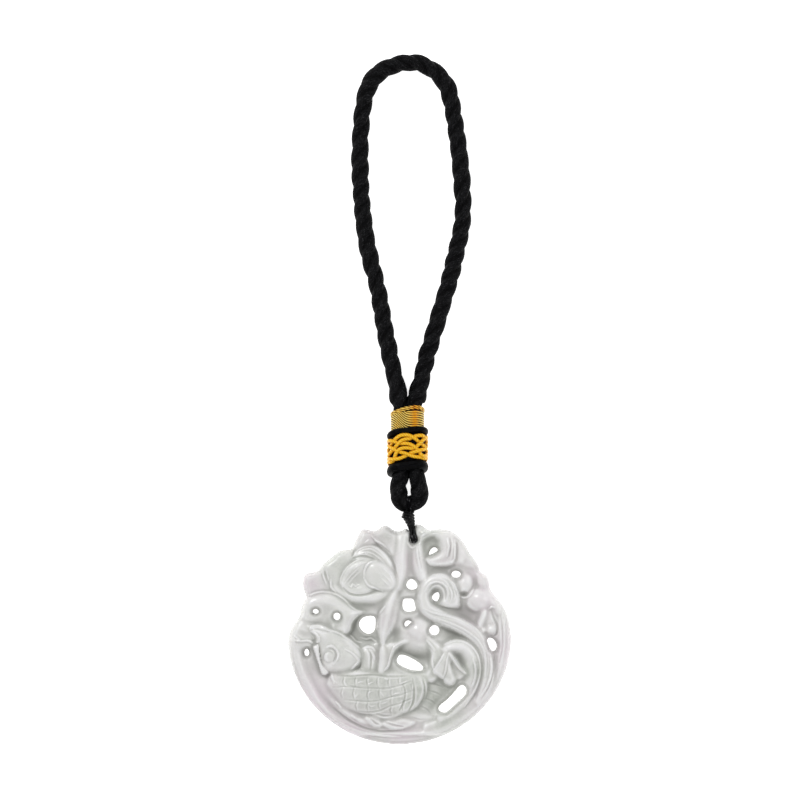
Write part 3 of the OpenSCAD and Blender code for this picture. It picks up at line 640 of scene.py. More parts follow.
# Turns of the knot under the lower loop: x, y, z of the middle, half width, half depth, lean, thickness
KNOT_COILS = [
    (2.05, 32, 3.3, 1.05, 1, 0.1, 0.85), (1.95, 31.3, 3.3, 1.2, 1.15, -0.15, 0.9),
    (1.85, 30.6, 3.35, 1.3, 1.2, -0.2, 0.95), (2.15, 29.9, 3.45, 1.1, 1.15, -0.25, 0.9),
    (2.35, 29.2, 3.7, 0.92, 0.95, -0.2, 0.85), (2.5, 28.55, 4, 0.65, 0.7, -0.1, 0.75),
]
COIL_SKEW = 0.12
# Above this place, over this length, the thread is duller
DULL_FROM = 31.6
DULL_LENGTH = 0.6


def coil(middle, by_cos, by_sin, hub, wide, thick):
    """A turn of thread round a hub, by how its middle goes with the cosine and with the sine of the turn."""
    a = turns(60)[:, None]
    line = np.array(middle) + np.array(by_cos) * np.cos(a) + np.array(by_sin) * np.sin(a)
    return thread_tube(line, line - np.array(hub), wide, thick, sides=12, plies=3, lay=2.4)


def add_tie_thread():
    """Two strands through the disc's hole, a hitch round the lower loop, and the knot's turns between."""
    middle, at = even_path(THREAD_ROUTE, 0.25)
    out = np.cross(heading(middle), [-1, 0, 0])
    strands = []
    for sign in (-1, 1):
        line = middle.copy()
        splay = THREAD_SPLAY * np.clip((middle[:, 1] - SPLAY_FROM) / SPLAY_LENGTH, 0, 1)
        line[:, 0] += sign * (THREAD_APART + splay) + THREAD_WAVER * np.sin(at * WAVER_PITCH + sign)
        strands.append(thread_tube(line, out, THREAD_D, THREAD_D, sides=14, plies=3, lay=3.2))
    for shift, lean in HITCH_TURNS:
        middle = np.array(HITCH) + [shift, 0, 0]
        strands.append(coil(middle, (lean, HITCH_HIGH, 0), (0, 0, HITCH_DEEP), HITCH, *HITCH_SIZE))
    for x, y, z, wide, deep, lean, size in KNOT_COILS:
        strands.append(coil((x, y, z), (wide, lean, 0), (0, COIL_SKEW, deep), (x, y, z), size, size))
    obj, points = add_threads("tie_thread_strands", strands, waxed_material())
    add_values(obj, "dull", np.clip((points[:, 1] - DULL_FROM) / DULL_LENGTH, 0, 1))
    settle(obj, "tie_thread")


add_gold_wrap()
add_collar()
add_gold_knot()
add_tie_thread()


# The carving, as heights over a grid

GRID = 0.17
GROUND = 4.8

# The disc's edge: lobed above, and half an oval below
LOBED_EDGE = [
    (-29.2, -0.4), (-28.7, 1.3), (-27.9, 2.7), (-27, 3.95), (-26.3, 5.2), (-26, 6.8), (-25.5, 8.3),
    (-24.9, 9.3), (-24.7, 9.8), (-24.95, 10.7), (-25.3, 11.7), (-25.6, 12.8), (-25.6, 14), (-25.4, 15.2),
    (-24.75, 15.85), (-23.9, 16.2), (-23.1, 16.3), (-22.2, 16.5), (-21.6, 16.8), (-21.05, 17.5),
    (-20.4, 18.3), (-19.6, 19.1), (-18.4, 19.95), (-17.5, 20.8), (-16.5, 21.6), (-15.4, 22.1), (-14.6, 22.25),
    (-13.4, 22.2), (-12.7, 22.6), (-12.3, 23.4), (-11.9, 24.5), (-11.3, 25.7), (-10.7, 26.7), (-10.3, 27.3),
    (-9.7, 27.6), (-8.95, 27.5), (-8.2, 27.3), (-7.2, 27.05), (-6.4, 27.2), (-5.7, 27.7), (-4.85, 28.3),
    (-4.1, 28.5), (-3.3, 28.25), (-2.5, 27.7), (-1.7, 27.2), (-0.85, 27), (0, 27.1), (0.8, 27.5), (1.4, 27.7),
    (2, 27.2), (2.8, 27), (3.4, 27.8), (3.8, 28.6), (4.15, 28.8), (4.8, 28.7), (5.7, 28.4), (6.6, 27.7),
    (7, 27.4), (7.85, 27.3), (9.1, 27.5), (10.3, 27.6), (12.15, 27.3), (13.3, 26.9), (14.3, 26.3), (15, 25.7),
    (15.7, 24.9), (16.5, 23.85), (17.2, 22.8), (17.6, 21.8), (18.1, 21), (18.8, 20.2), (19.7, 18.9),
    (20.3, 17.7), (20.35, 16.9), (20.7, 16.5), (21.4, 16.05), (22.4, 15.4), (22.8, 14.6), (23, 13.6),
    (23.1, 12.6), (23.5, 11.5), (24.3, 10.5), (25.1, 9.5), (26.7, 7.4), (27.9, 4.5), (28.3, 2.5), (28.6, 0.5),
]
LOWER_MIDDLE = (-0.4, -0.5)
LOWER_HALF = (29.1, 28)

# Gaps with a free outline, as points
GAPS = [
    [(-10.95, 2.6), (-10.6, 3.7), (-9.8, 4.5), (-8.6, 4.85), (-7.5, 4.9), (-6.8, 4.5), (-6.65, 3.8),
     (-6.75, 2), (-7.1, 1), (-7.9, 0.4), (-8.7, 0.3), (-9.6, 0.7), (-10.4, 1.4)],
    [(2.9, 14.5), (3.7, 14), (4.25, 13), (4, 12.2), (3.2, 11.8), (2.2, 11.9), (1.5, 12.6), (1.5, 13.4),
     (2.1, 14.3)],
    [(0.95, 9.35), (3, 9.3), (3.5, 8.2), (3.75, 6.9), (3.4, 6.3), (2.2, 6.05), (1.2, 6.15), (0.55, 6.9),
     (0.45, 7.9), (0.6, 8.9)],
    [(1.1, 2.2), (0.9, 2.9), (1.2, 3.5), (1.9, 3.75), (2.75, 3.4), (2.2, 2.9), (1.6, 2.3)],
    [(7.25, 20.9), (7.5, 21.8), (8.1, 22.6), (8.8, 22.8), (9.5, 22.3), (9.3, 21.8), (8.3, 21.2), (7.6, 20.9)],
    [(9.5, 11.1), (8.6, 10.7), (8.15, 9.9), (8.35, 9.2), (9.2, 8.75), (9.7, 9.2), (10, 10.2), (9.8, 10.9)],
    [(22.5, -1.3), (23, -0.8), (23.9, -1), (24.7, -2), (24.9, -3.1), (24.5, -4), (23.8, -4.15),
     (23.2, -3.5), (22.8, -2.4)],
    [(0, -5.2), (1.3, -5.4), (2.8, -6.1), (4.2, -6.9), (5.3, -7.8), (5.75, -8.6), (5.4, -9.15), (4.4, -9.3),
     (2.7, -9.1), (1, -8.5), (-0.3, -7.8), (-0.95, -7.1), (-1, -6.4), (-0.6, -5.5)],
    [(16.1, -13.1), (16.95, -13.9), (16.9, -15.2), (16.2, -16.2), (14.8, -17.5), (13.2, -19),
     (11.9, -20.05), (11, -20.2), (10.1, -19.8), (9.8, -19.1), (10.2, -18.3), (11.5, -17.3), (13, -15.9),
     (14.2, -14.5), (15.2, -13.4)],
]
# Round and oval gaps, the drilled hole last: x, y, half width, half height
OVAL_GAPS = [
    (-22.2, 6.1, 0.75, 0.6), (-16.7, 4.8, 0.85, 0.95), (8.7, 1.2, 1.27, 1.3), (14.35, 15.8, 1.17, 0.88),
    (-24.55, -4.6, 0.6, 0.93), (3.3, 24.85, 0.9, 0.8),
]


def oval(x, y, a, b):
    t = turns(40)
    return np.column_stack([x + a * np.cos(t), y + b * np.sin(t)])


def disc_edge():
    angles = np.radians(np.arange(-3, -178, -3))
    lower = np.column_stack([np.cos(angles), np.sin(angles)]) * LOWER_HALF + LOWER_MIDDLE
    return smooth_path(np.vstack([LOBED_EDGE, lower]), 0.3, closed=True)


# Shapes of a ridge's section: how its height falls away over the share t of its half width
SECTIONS = {"soft": lambda t: (1 - t**2) ** 1.2, "flat": lambda t: (1 - t**4) ** 0.8}
# How much of a fine line's height is left at its two ends
END_FADE = 0.35


def segment_share(x, y, a, b):
    """How far along the segment from a to b the nearest point to each place is, and the distance to it."""
    dx, dy = b[0] - a[0], b[1] - a[1]
    u = np.clip(((x - a[0]) * dx + (y - a[1]) * dy) / max(dx * dx + dy * dy, 1e-9), 0, 1)
    return u, np.hypot(x - a[0] - u * dx, y - a[1] - u * dy)


class Relief:
    """Heights over a square grid, and the ways to raise and lower them."""

    def __init__(self, low, high):
        self.xs = np.arange(low[0], high[0] + GRID / 2, GRID)
        self.ys = np.arange(low[1], high[1] + GRID / 2, GRID)
        self.x, self.y = np.meshgrid(self.xs, self.ys)
        self.z = np.full(self.x.shape, float(GROUND))
        self.base = self.z

    def window(self, points, margin):
        low = np.min(points, 0)[:2] - margin
        high = np.max(points, 0)[:2] + margin
        columns = slice(*np.searchsorted(self.xs, [low[0], high[0]]))
        return slice(*np.searchsorted(self.ys, [low[1], high[1]])), columns

    def strokes(self, rows):
        """For rows of x, y, half width, height: the share of the half width (1 outside), and the height."""
        rows = smooth_path(rows, 0.5)
        share = np.ones(self.x.shape)
        height = np.zeros(self.x.shape)
        for a, b in zip(rows[:-1], rows[1:]):
            w = self.window([a, b], max(a[2], b[2]))
            u, distance = segment_share(self.x[w], self.y[w], a, b)
            t = distance / (a[2] + u * (b[2] - a[2]))
            nearer = t < share[w]
            height[w] = np.where(nearer, a[3] + u * (b[3] - a[3]), height[w])
            share[w] = np.where(nearer, t, share[w])
        return share, height

    def ridge(self, rows, section="soft"):
        """A raised path of rows: x, y, half width, crest."""
        share, height = self.strokes(rows)
        self.z = np.maximum(self.z, self.base + (height - self.base) * SECTIONS[section](share))

    def stroke(self, points, half, height):
        """A fine raised line with a faint groove on both sides, or the reverse if the height is negative."""
        fade = [END_FADE] + [1] * (len(points) - 2) + [END_FADE]
        rows = [(x, y, half * (0.6 + 0.4 * f), height * f) for (x, y), f in zip(points, fade)]
        share, rise = self.strokes(rows)
        self.z = self.z + rise * (1 - share**2) ** 1.2 * (1 - 3.2 * share**2)

    def inside(self, outline, margin, smooth=True):
        """Distance in from an outline, negative outside it, and the window that holds it."""
        points = smooth_path(outline, 0.4, closed=True) if smooth else np.array(outline, float)
        w = self.window(points, margin)
        x, y = self.x[w], self.y[w]
        near = np.full(x.shape, 1e9)
        for a, b in zip(points, np.roll(points, -1, axis=0)):
            near = np.minimum(near, segment_share(x, y, a, b)[1])
        return np.where(enclosed(x, y, zip(points, np.roll(points, -1, axis=0))), near, -near), w

    def pad(self, outline, edge, rise, width, lean=(0, 0)):
        """A raised form with a rounded top: height at the edge, rise, and how far in it goes on rising."""
        d, w = self.inside(outline, 0.3)
        x, y = np.mean(outline, 0)
        t = np.clip(d / width, 0, 1)
        z = edge + rise * np.sqrt(1 - (1 - t) ** 2) + lean[0] * (self.x[w] - x) + lean[1] * (self.y[w] - y)
        self.z[w] = np.where(d > 0, np.maximum(self.z[w], z), self.z[w])

    def rim(self, inner, height, fall):
        """A level rim outside an outline, with an even slope down to the ground on its inner side."""
        d, w = self.inside(inner, 1)
        t = np.clip(-d / fall, 0, 1)
        self.z[w] = np.maximum(self.z[w], self.base[w] + (height - self.base[w]) * t * t * (3 - 2 * t))

    def within(self, x, y, a, b, degrees):
        """How much of each place's way out of a turned oval is left: 1 at its middle and 0 at its edge."""
        c, s = math.cos(math.radians(degrees)), math.sin(math.radians(degrees))
        u = ((self.x - x) * c + (self.y - y) * s) / a
        v = (-(self.x - x) * s + (self.y - y) * c) / b
        return 1 - np.minimum(u * u + v * v, 1)

    def dome(self, x, y, a, b, degrees, top, soft):
        share = self.within(x, y, a, b, degrees) ** soft
        self.z = np.maximum(self.z, self.base + (top - self.base) * share)

    def hollow(self, x, y, a, b, degrees, depth):
        self.z = self.z - depth * self.within(x, y, a, b, degrees) ** 1.5

    def spread(self, values, sigma):
        """Values blurred over a distance."""
        reach = max(1, math.ceil(3 * sigma / GRID))
        k = np.exp(-0.5 * (np.arange(-reach, reach + 1) * GRID / sigma) ** 2)
        k = k / k.sum()
        z = np.pad(values, reach, mode="edge")
        z = sum(k[i] * z[i : i + values.shape[0], :] for i in range(len(k)))
        return sum(k[i] * z[:, i : i + values.shape[1]] for i in range(len(k)))

    def around(self, sigma, stone):
        """Mean height of the stone round each place, leaving out the gaps."""
        return self.spread(self.z * stone, sigma) / np.maximum(self.spread(stone * 1.0, sigma), 0.02)


def enclosed(x, y, edges):
    """Which places lie inside the area that the edges bound."""
    odd = np.zeros(x.shape, bool)
    for (ax, ay), (bx, by) in edges:
        if ay != by:
            odd ^= ((ay > y) != (by > y)) & (x < (bx - ax) * (y - ay) / (by - ay) + ax)
    return odd


# Recesses of the ground: x, y, half length, half width, degrees, depth
RECESSES = [
    (-10.4, 1.8, 5.4, 5.6, 20, 1.8), (-9.5, 7.3, 5.4, 2, -4, 0.75), (3, -4.9, 6, 4.2, -8, 2.3),
    (-1, 0.2, 2.2, 2.8, -20, 1.1), (2.6, 13, 2.6, 2.6, 0, 0.6), (2, 7.6, 3, 2.8, 0, 0.6),
    (1.8, 3.2, 2.2, 1.8, 0, 0.7), (8.7, 1.4, 2.6, 2.6, 0, 0.7), (13.4, 0.4, 5.6, 2.6, -14, 1),
    (17, 5.6, 4.8, 3.2, -32, 1), (16, -6.6, 3.4, 4.6, 18, 0.8), (13.6, -15.4, 3.6, 3.2, 40, 0.7),
    (7.4, 23.4, 3.4, 4.2, 12, 0.85), (11, 17.2, 6.4, 1.5, 2, 0.6), (8.6, 10.6, 2.8, 3.4, 0, 1),
    (2.6, 19, 1.4, 5.4, 0, 0.2), (-19.4, -14, 7, 2.6, -52, -0.5), (14.4, 15.8, 2.2, 1.8, 0, 0.5),
    (8, -15.6, 6.5, 5.6, 40, 1.1), (-7.8, -1, 2.6, 1.5, -14, 0.7), (24, -2.6, 2, 2.6, 20, 0.7),
    (-24.6, -4.6, 1.8, 2.2, 0, 0.5), (22.6, 3.2, 1.6, 2.6, -10, 0.2), (19.4, 13.4, 1.6, 2, 0, 0.4),
    (-5.6, 2.6, 1.4, 4, 10, 0.6), (-19.6, 3.6, 5, 1.8, -14, 0.8),
]
# Inner edge of the rim, which runs round the lower part only: above, this outline lies outside the disc
RIM_INNER = [
    (-31, 9), (-27, 5.4), (-26, 2), (-25.4, -3), (-24.4, -8), (-22, -13), (-20.2, -16), (-17, -19.5),
    (-14, -21.7), (-10, -23.8), (-6, -24.8), (-3, -24.9), (3, -24.4), (8, -23.2), (12.6, -21.2), (17, -18.6),
    (20.2, -16.4), (22.2, -14), (23.4, -11.4), (24, -8.6), (24.6, -4), (24.8, 1), (24.4, 5), (25.4, 9),
    (31, 12), (31, 31), (-31, 31),
]
RIM_HEIGHT = 5.7
RIM_FALL = 1.8
GROUND_BLUR = 0.5


def carve(r):
    """Raises the whole scene on the disc, back to front."""
    for row in RECESSES:
        r.hollow(*row)
    r.base = r.spread(r.z, GROUND_BLUR)
    r.z = r.base
    r.rim(RIM_INNER, RIM_HEIGHT, RIM_FALL)
    # fins and folds between the rim and the carp
    r.ridge([(-19.2, -14.8, 1, 5.2), (-17, -17.6, 1.2, 5.6), (-14.2, -20, 1.2, 5.6),
        (-11.2, -21.8, 1.1, 5.6), (-8.8, -22.8, 0.8, 5.4)])

    # petals along the upper left edge
    r.pad([(-24.8, 10.1), (-25.7, 13), (-25.5, 15.4), (-24, 16.4), (-22, 16.7), (-20.8, 18), (-19.9, 15.6),
        (-19, 13.4), (-18.2, 12), (-19.8, 10.8), (-22.2, 10.2)], 4.7, 0.9, 2.4, lean=(-0.07, 0.04))
    r.ridge([(-20.9, 17.9, 1.2, 5), (-20.2, 15.6, 1.6, 5.3), (-19.3, 13.4, 1.6, 5.3), (-18.5, 12, 1.2, 5.1)])
    r.pad([(-20.7, 17.8), (-19.4, 19.5), (-17, 21.5), (-14.8, 22.5), (-13, 22.4), (-11.8, 21.4),
        (-11, 19.8), (-12.6, 17.2), (-13.8, 14.6), (-15.2, 12.6), (-18, 12), (-19, 13.7),
        (-19.8, 15.7)], 4.8, 1.2, 3.2, lean=(-0.05, 0.05))
    r.pad([(-13, 22.5), (-12.1, 24.8), (-10.7, 27.1), (-9.6, 27.8), (-8.2, 27.5), (-7.1, 27.2), (-6.5, 26),
        (-6, 24.4), (-7, 23.3), (-9, 22.8), (-11, 22.3)], 4.8, 0.9, 2.2, lean=(-0.04, -0.05))
    r.pad([(-6.4, 24.3), (-6.9, 26), (-7.1, 27.2), (-5.8, 28), (-4.3, 28.7), (-2.9, 28.3), (-1.7, 27.3),
        (-0.8, 25), (-1, 22.4), (-2, 20.4), (-3.6, 22.2), (-5, 23.4)], 5, 0.9, 2, lean=(-0.06, -0.03))

    # flower: lip below it, back petal, left petal, front petal
    r.ridge([(-17.6, 14.8, 1.4, 5.4), (-17, 12.6, 1.7, 5.8), (-15.2, 11, 1.9, 6), (-12.8, 10.2, 2, 6.1),
        (-10, 9.9, 2, 6.1), (-7, 10, 2, 6.1), (-4.6, 10.8, 1.8, 6.1), (-2.6, 12, 1.3, 6.1)])
    r.pad([(-12.6, 20.2), (-12, 21.6), (-10.6, 22.9), (-8.4, 23.5), (-6.2, 23.2), (-4.2, 21.8),
        (-2.6, 19.8), (-1.8, 17.6), (-1.6, 14.8), (-4, 12.4), (-8, 12), (-12, 14),
        (-13.2, 17)], 5.2, 0.9, 1.8)
    r.pad([(-16, 13.3), (-15.7, 15), (-14.8, 17), (-13.2, 18.7), (-11.4, 19.7), (-9.2, 20.2), (-7.2, 19.8),
        (-6, 17), (-6.4, 13), (-8, 11.2), (-10.6, 10.6), (-13, 10.7), (-14.8, 11.6)], 5.5, 1.1, 1.8)
    r.hollow(-12.2, 14.2, 3.6, 3.4, 40, 0.75)
    r.pad([(-9.8, 15.4), (-9.4, 17.4), (-8.2, 19), (-6.4, 19.4), (-4.4, 18.6), (-2.6, 17), (-1.4, 15),
        (-1.2, 13.4), (-2, 12), (-4, 11.6), (-6.4, 12), (-8.4, 13)], 6.2, 1, 3, lean=(0.05, 0.02))

    # upright folds under the thread hole, and bridges between the gaps
    r.ridge([(0.8, 27.4, 1.9, 5.3), (0.2, 24.6, 2.2, 5.9), (-0.1, 21, 2.3, 6.3), (0, 17.5, 2.1, 6.4),
        (-0.1, 14.8, 1.7, 6.4), (-0.8, 12.5, 1.5, 6.3)])
    r.ridge([(4.8, 25, 1, 5.8), (4.5, 22.6, 1.7, 6.1), (4.6, 19.8, 2, 6.3), (5, 17.2, 2.1, 6.5),
        (5.8, 15, 2, 6.7)])
    r.ridge([(0.2, 10.7, 1.1, 4.9), (2.2, 10.6, 1.1, 4.5), (4.2, 10.7, 1.1, 4.9)])
    r.ridge([(-0.6, 4.9, 1.1, 4.8), (1.6, 5, 1.1, 4.4), (4, 5, 1.2, 4.8)])
    # stem from the flower to the carp
    r.pad([(-1.8, 13), (-2.8, 11), (-4.4, 7.8), (-5.6, 5.2), (-6.1, 3), (-6, 1), (-5.4, -1), (-5, -2.8),
        (-4.2, -2.8), (-3.4, -0.6), (-2.2, 1.4), (-1.1, 3.6), (-0.5, 6.4), (-0.3, 9.4),
        (-0.3, 13)], 5, 1.2, 1.9, lean=(-0.16, 0))
    r.ridge([(-1.2, 12.4, 1.2, 6.2), (-2.2, 9.8, 1.7, 6.4), (-3.1, 7, 2.1, 6.6), (-3.7, 4.4, 2.3, 6.7),
        (-4.3, 1.8, 1.9, 6.6), (-4.6, -0.4, 1.3, 6.4), (-4.7, -2, 0.9, 6.2)])
    r.pad([(-4.8, -2.2), (-5.6, -3.4), (-5.9, -6), (-6.2, -9.8), (-4, -10), (-3.3, -6),
        (-3.7, -3.4)], 5.1, 1.3, 1.6)

    # lotus leaf with two small gaps
    r.pad([(-26.4, 4.4), (-26.1, 6.8), (-25.2, 9), (-23.4, 10.5), (-21, 11.2), (-18.5, 11.2), (-16.4, 10.4),
        (-14.6, 9.1), (-12.8, 7.5), (-11.2, 6.5), (-9.6, 6), (-11.2, 5.1), (-12.6, 3.2), (-13.2, 1.2),
        (-14.5, 0), (-16, 0.4), (-18.3, 1.4), (-21, 2.6), (-24, 3.2)], 4.7, 1.9, 3)
    r.hollow(-20.2, 5, 5.6, 4, -12, 1.4)
    r.hollow(-17.2, 3.4, 2.8, 2.4, 20, 0.8)

    # carp: lips, head, gill cover, body
    r.dome(-26, 0.4, 4.2, 4.4, 0, 5.9, 0.6)
    r.pad([(-24.4, 2.7), (-22.6, 2.9), (-20, 2.7), (-18, 1.8), (-16, 0.8), (-14, -0.4), (-12.3, -1.8),
        (-11, -3.2), (-10.2, -5), (-10.3, -6.8), (-11.2, -8.2), (-12.8, -9.2), (-15, -9.8), (-17.6, -9.9),
        (-19.8, -9.4), (-20.8, -7), (-21.3, -4.4), (-21.9, -2.4), (-22.9, -0.6), (-23.9, 0.8)], 5, 2.5, 4.6)
    r.pad([(-10.2, -3.4), (-8.8, -2.8), (-7.4, -3.2), (-6.6, -4.4), (-6.3, -6.6), (-6.6, -9.2),
        (-8.8, -9.9), (-11, -9.8), (-10.4, -7.4), (-10.1, -5)], 4.8, 0.9, 2.6)
    r.pad([(-19.2, -11.6), (-17.8, -9.6), (-12.5, -9.6), (-7, -9.6), (-3, -9.4), (2, -9.7), (5.4, -10.4),
        (6.8, -12), (6.8, -14), (5.8, -16.6), (4, -18.8), (1.4, -20.2), (-1, -20.6), (-4, -20.6),
        (-6.5, -20.8), (-9, -20.6), (-12, -20), (-15.2, -18.6), (-17, -16.5), (-18.6, -14.3),
        (-19.4, -12.9)], 5.2, 1.5, 6.5)
    r.dome(1.6, -10.6, 6.5, 2.2, -4, 5.7, 1)
    r.dome(-12, -10.2, 7.5, 1.8, 0, 6.3, 1)
    # tail running down to the slot
    r.pad([(5, -10.4), (8, -10.8), (11, -12.6), (12.2, -14.6), (10.6, -17), (9, -18.4), (8.8, -20),
        (7, -21.4), (4, -20.4), (3.4, -17), (4.6, -13.6)], 3.6, 0.8, 3, lean=(-0.12, 0.02))
    # fins below the body
    r.pad([(-8, -20.6), (-5.6, -21.8), (-2.5, -21.9), (-0.2, -21), (1.2, -19.8), (0, -18.4), (-3, -18.9),
        (-5.6, -19.6)], 5, 0.8, 1.4)
    r.pad([(-5.4, -22.8), (-3.4, -24.3), (-0.4, -24.6), (2.4, -23.8), (3.8, -22.6), (1.4, -21.6),
        (-2, -21.8)], 5.1, 0.6, 1.2)
    r.pad([(1, -20.7), (2.4, -22.3), (4.6, -23), (7, -22.6), (8.4, -21.4), (6.4, -20.4),
        (3.4, -20)], 4.6, 0.5, 1.8)
    r.pad([(-9.6, -21.2), (-8.6, -23), (-6.6, -24.1), (-4.8, -23.6), (-5.4, -22), (-7.6, -21)], 5.1, 0.6, 1)

    # central dome with its two arms
    r.dome(4.4, -0.8, 6, 5.4, 0, 6.3, 1.5)
    r.dome(4.7, 1.1, 3.7, 3.6, 0, 7, 0.8)
    r.pad([(3, 0.8), (0.8, -0.8), (-1.4, -1.7), (-3.4, -1.8), (-4.6, -2.6), (-5.6, -6), (-6, -9.6),
        (-4, -10), (-3, -8.6), (-2.4, -6), (-1.4, -3.9), (0.4, -2.5), (3, -1.8)], 4.9, 1.1, 1.3)
    r.ridge([(6.6, 0, 1.2, 6.2), (8, -2.2, 1.5, 6.1), (9.4, -4.2, 2, 6), (9.6, -6.6, 2.2, 5.9),
        (9.2, -9, 2, 5.7), (7.6, -10.8, 1.8, 5.6)], "flat")

    # long stem and its curled end
    r.ridge([(19.4, -17.6, 1.8, 5.5), (16.4, -20.4, 2, 5.55), (12.4, -22.6, 2, 5.55),
        (7, -24.2, 1.6, 5.5)], "flat")
    r.ridge([(20.2, -17.2, 1.2, 5.9), (21.6, -14.6, 1.6, 6.1), (22.6, -11.4, 1.8, 6.3),
        (22.6, -7.2, 1.8, 6.5), (21.6, -3, 1.9, 6.7), (19, 0.3, 2.1, 6.8), (14.8, 2.8, 2.1, 6.9),
        (10.2, 4.7, 2.1, 7), (6.9, 6.9, 2.1, 7.1), (5.9, 9.6, 1.9, 7.1)], "flat")
    r.ridge([(6.2, 8, 1.9, 6.9), (5.9, 10.2, 1.8, 7.1), (6.7, 12.8, 1.9, 7.1), (8.8, 14.3, 1.9, 7.2),
        (11, 14.2, 2, 7.2), (12.6, 12.8, 2.1, 7.1), (13.3, 10.6, 2, 6.9), (13.2, 8.8, 1.7, 6.7)], "flat")
    r.ridge([(6.9, 10.6, 0.9, 6.2), (7.8, 12.4, 1.1, 6.4), (9.6, 12.9, 1.3, 6.6), (11.2, 11.8, 1.4, 6.6),
        (11.6, 10, 1.3, 6.5), (11, 8.8, 1, 6.3)])
    r.pad([(10, 8.6), (11, 7.8), (12.6, 7.4), (14.8, 7.3), (15.3, 8.4), (15.1, 10.4), (14.2, 13),
        (12.4, 12.4), (11.6, 10.4)], 5.9, 0.8, 1.2)

    # curled leaf at the lower right and its three folds
    r.ridge([(11.4, -3.8, 1.5, 6.8), (12.9, -3, 2, 7), (14.9, -2.9, 2.3, 7.1), (16.8, -3.6, 2.6, 7.1),
        (18.2, -5.4, 2.8, 7), (18.8, -7.8, 2.8, 6.9), (18.8, -10.8, 2.4, 6.7), (17.9, -13.8, 2.2, 6.5),
        (16.3, -17, 2, 6.3), (13.8, -19.7, 1.9, 6.1), (10.4, -21.8, 1.6, 5.9)])
    r.pad([(11.3, -4), (12.3, -4.4), (12, -7), (10.9, -11.3), (9.6, -10.6), (8.2, -9.5), (9.5, -7),
        (10.5, -5)], 5.9, 0.7, 0.9)
    r.pad([(13.4, -6.4), (15, -8.8), (16.8, -10.2), (15.6, -11.4), (14.2, -11.4), (13.6, -9)], 5.2, 0.5, 1)
    r.ridge([(12.6, -4.6, 0.8, 6.8), (13.8, -6.4, 1, 6.8), (15.2, -8.4, 1, 6.5), (16.8, -9.9, 0.9, 6.1)])
    r.pad([(12, -4.3), (12.7, -5), (13.2, -8), (14.2, -10.6), (14.2, -12.2), (12.8, -13.2), (11.2, -12.4),
        (10.9, -11), (11.4, -9), (11.7, -6.4)], 5.6, 1.1, 1.7)

    # curled leaf at the upper right
    r.pad([(3.8, 27.4), (5, 28.8), (7, 27.8), (11.4, 27.9), (14, 26.9), (16.6, 24.2), (18.2, 21.4),
        (20.6, 18.2), (19.6, 17.4), (17, 17.6), (14.4, 18.2), (12.6, 18.8), (11.4, 20), (11.4, 22),
        (10.6, 25), (8, 26), (5.4, 25.4)], 4.6, 1, 3)
    r.ridge([(4.8, 24.6, 1.2, 6), (5.8, 25.9, 1.4, 6), (7.6, 26.8, 1.6, 6), (9.6, 26.8, 1.8, 6)])
    r.ridge([(9, 26.8, 1.6, 6), (11, 25.6, 2.2, 6.3), (11.9, 23.4, 2.6, 6.6), (11.5, 21.4, 2.4, 6.6),
        (10, 20.1, 1.8, 6.5), (8, 19.5, 1.2, 6.2)])
    r.pad([(6.5, 19.7), (7.6, 20.4), (10, 20.8), (12.4, 20.8), (13.8, 19.4), (13.2, 18.3), (10.4, 17.9),
        (7.9, 18.1)], 5.5, 0.7, 1.2)
    r.ridge([(12.6, 25.8, 1, 6), (13.4, 23.6, 1.2, 6.3), (13.3, 21, 1.2, 6.3), (12.6, 19.2, 1, 6.1)])
    r.ridge([(15, 24.6, 1.6, 5.7), (15.7, 22.2, 1.9, 5.9), (15.8, 19.8, 1.8, 5.9)])
    r.ridge([(17, 21.8, 1.6, 5.5), (18.2, 19.4, 1.8, 5.5)])

    # leaf ends at the right
    r.dome(16.6, 13.4, 2.3, 2.8, -8, 6.3, 0.7)
    r.pad([(19.6, 16.8), (21, 16.8), (22.8, 15.4), (23.4, 13), (23, 11.4), (20.8, 11.6),
        (20, 13.2)], 4.6, 0.9, 1.8)
    r.pad([(17, 8.8), (18.2, 11), (20.4, 12.6), (22.8, 12.2), (25, 10), (26.8, 7.6), (27.2, 5.4), (25, 5),
        (23.6, 6.4), (21.6, 6.2), (19.4, 6.2), (17.6, 7.2)], 4.7, 1.7, 3.4)
    r.dome(20.7, 9.3, 3.8, 3.2, -12, 7, 0.75)
    r.ridge([(21.8, 7, 1.4, 6), (21.6, 5.2, 1.3, 6.3), (20.9, 3.4, 1.2, 6.2), (20.6, 2.2, 1, 5.9)])
    r.dome(22.9, 4.4, 2.4, 3.4, 0, 5.5, 0.8)
    r.dome(23.5, 1.6, 1.5, 1.6, 0, 6.1, 0.7)
    r.dome(21.4, 1.4, 1, 1.1, 0, 6, 0.7)


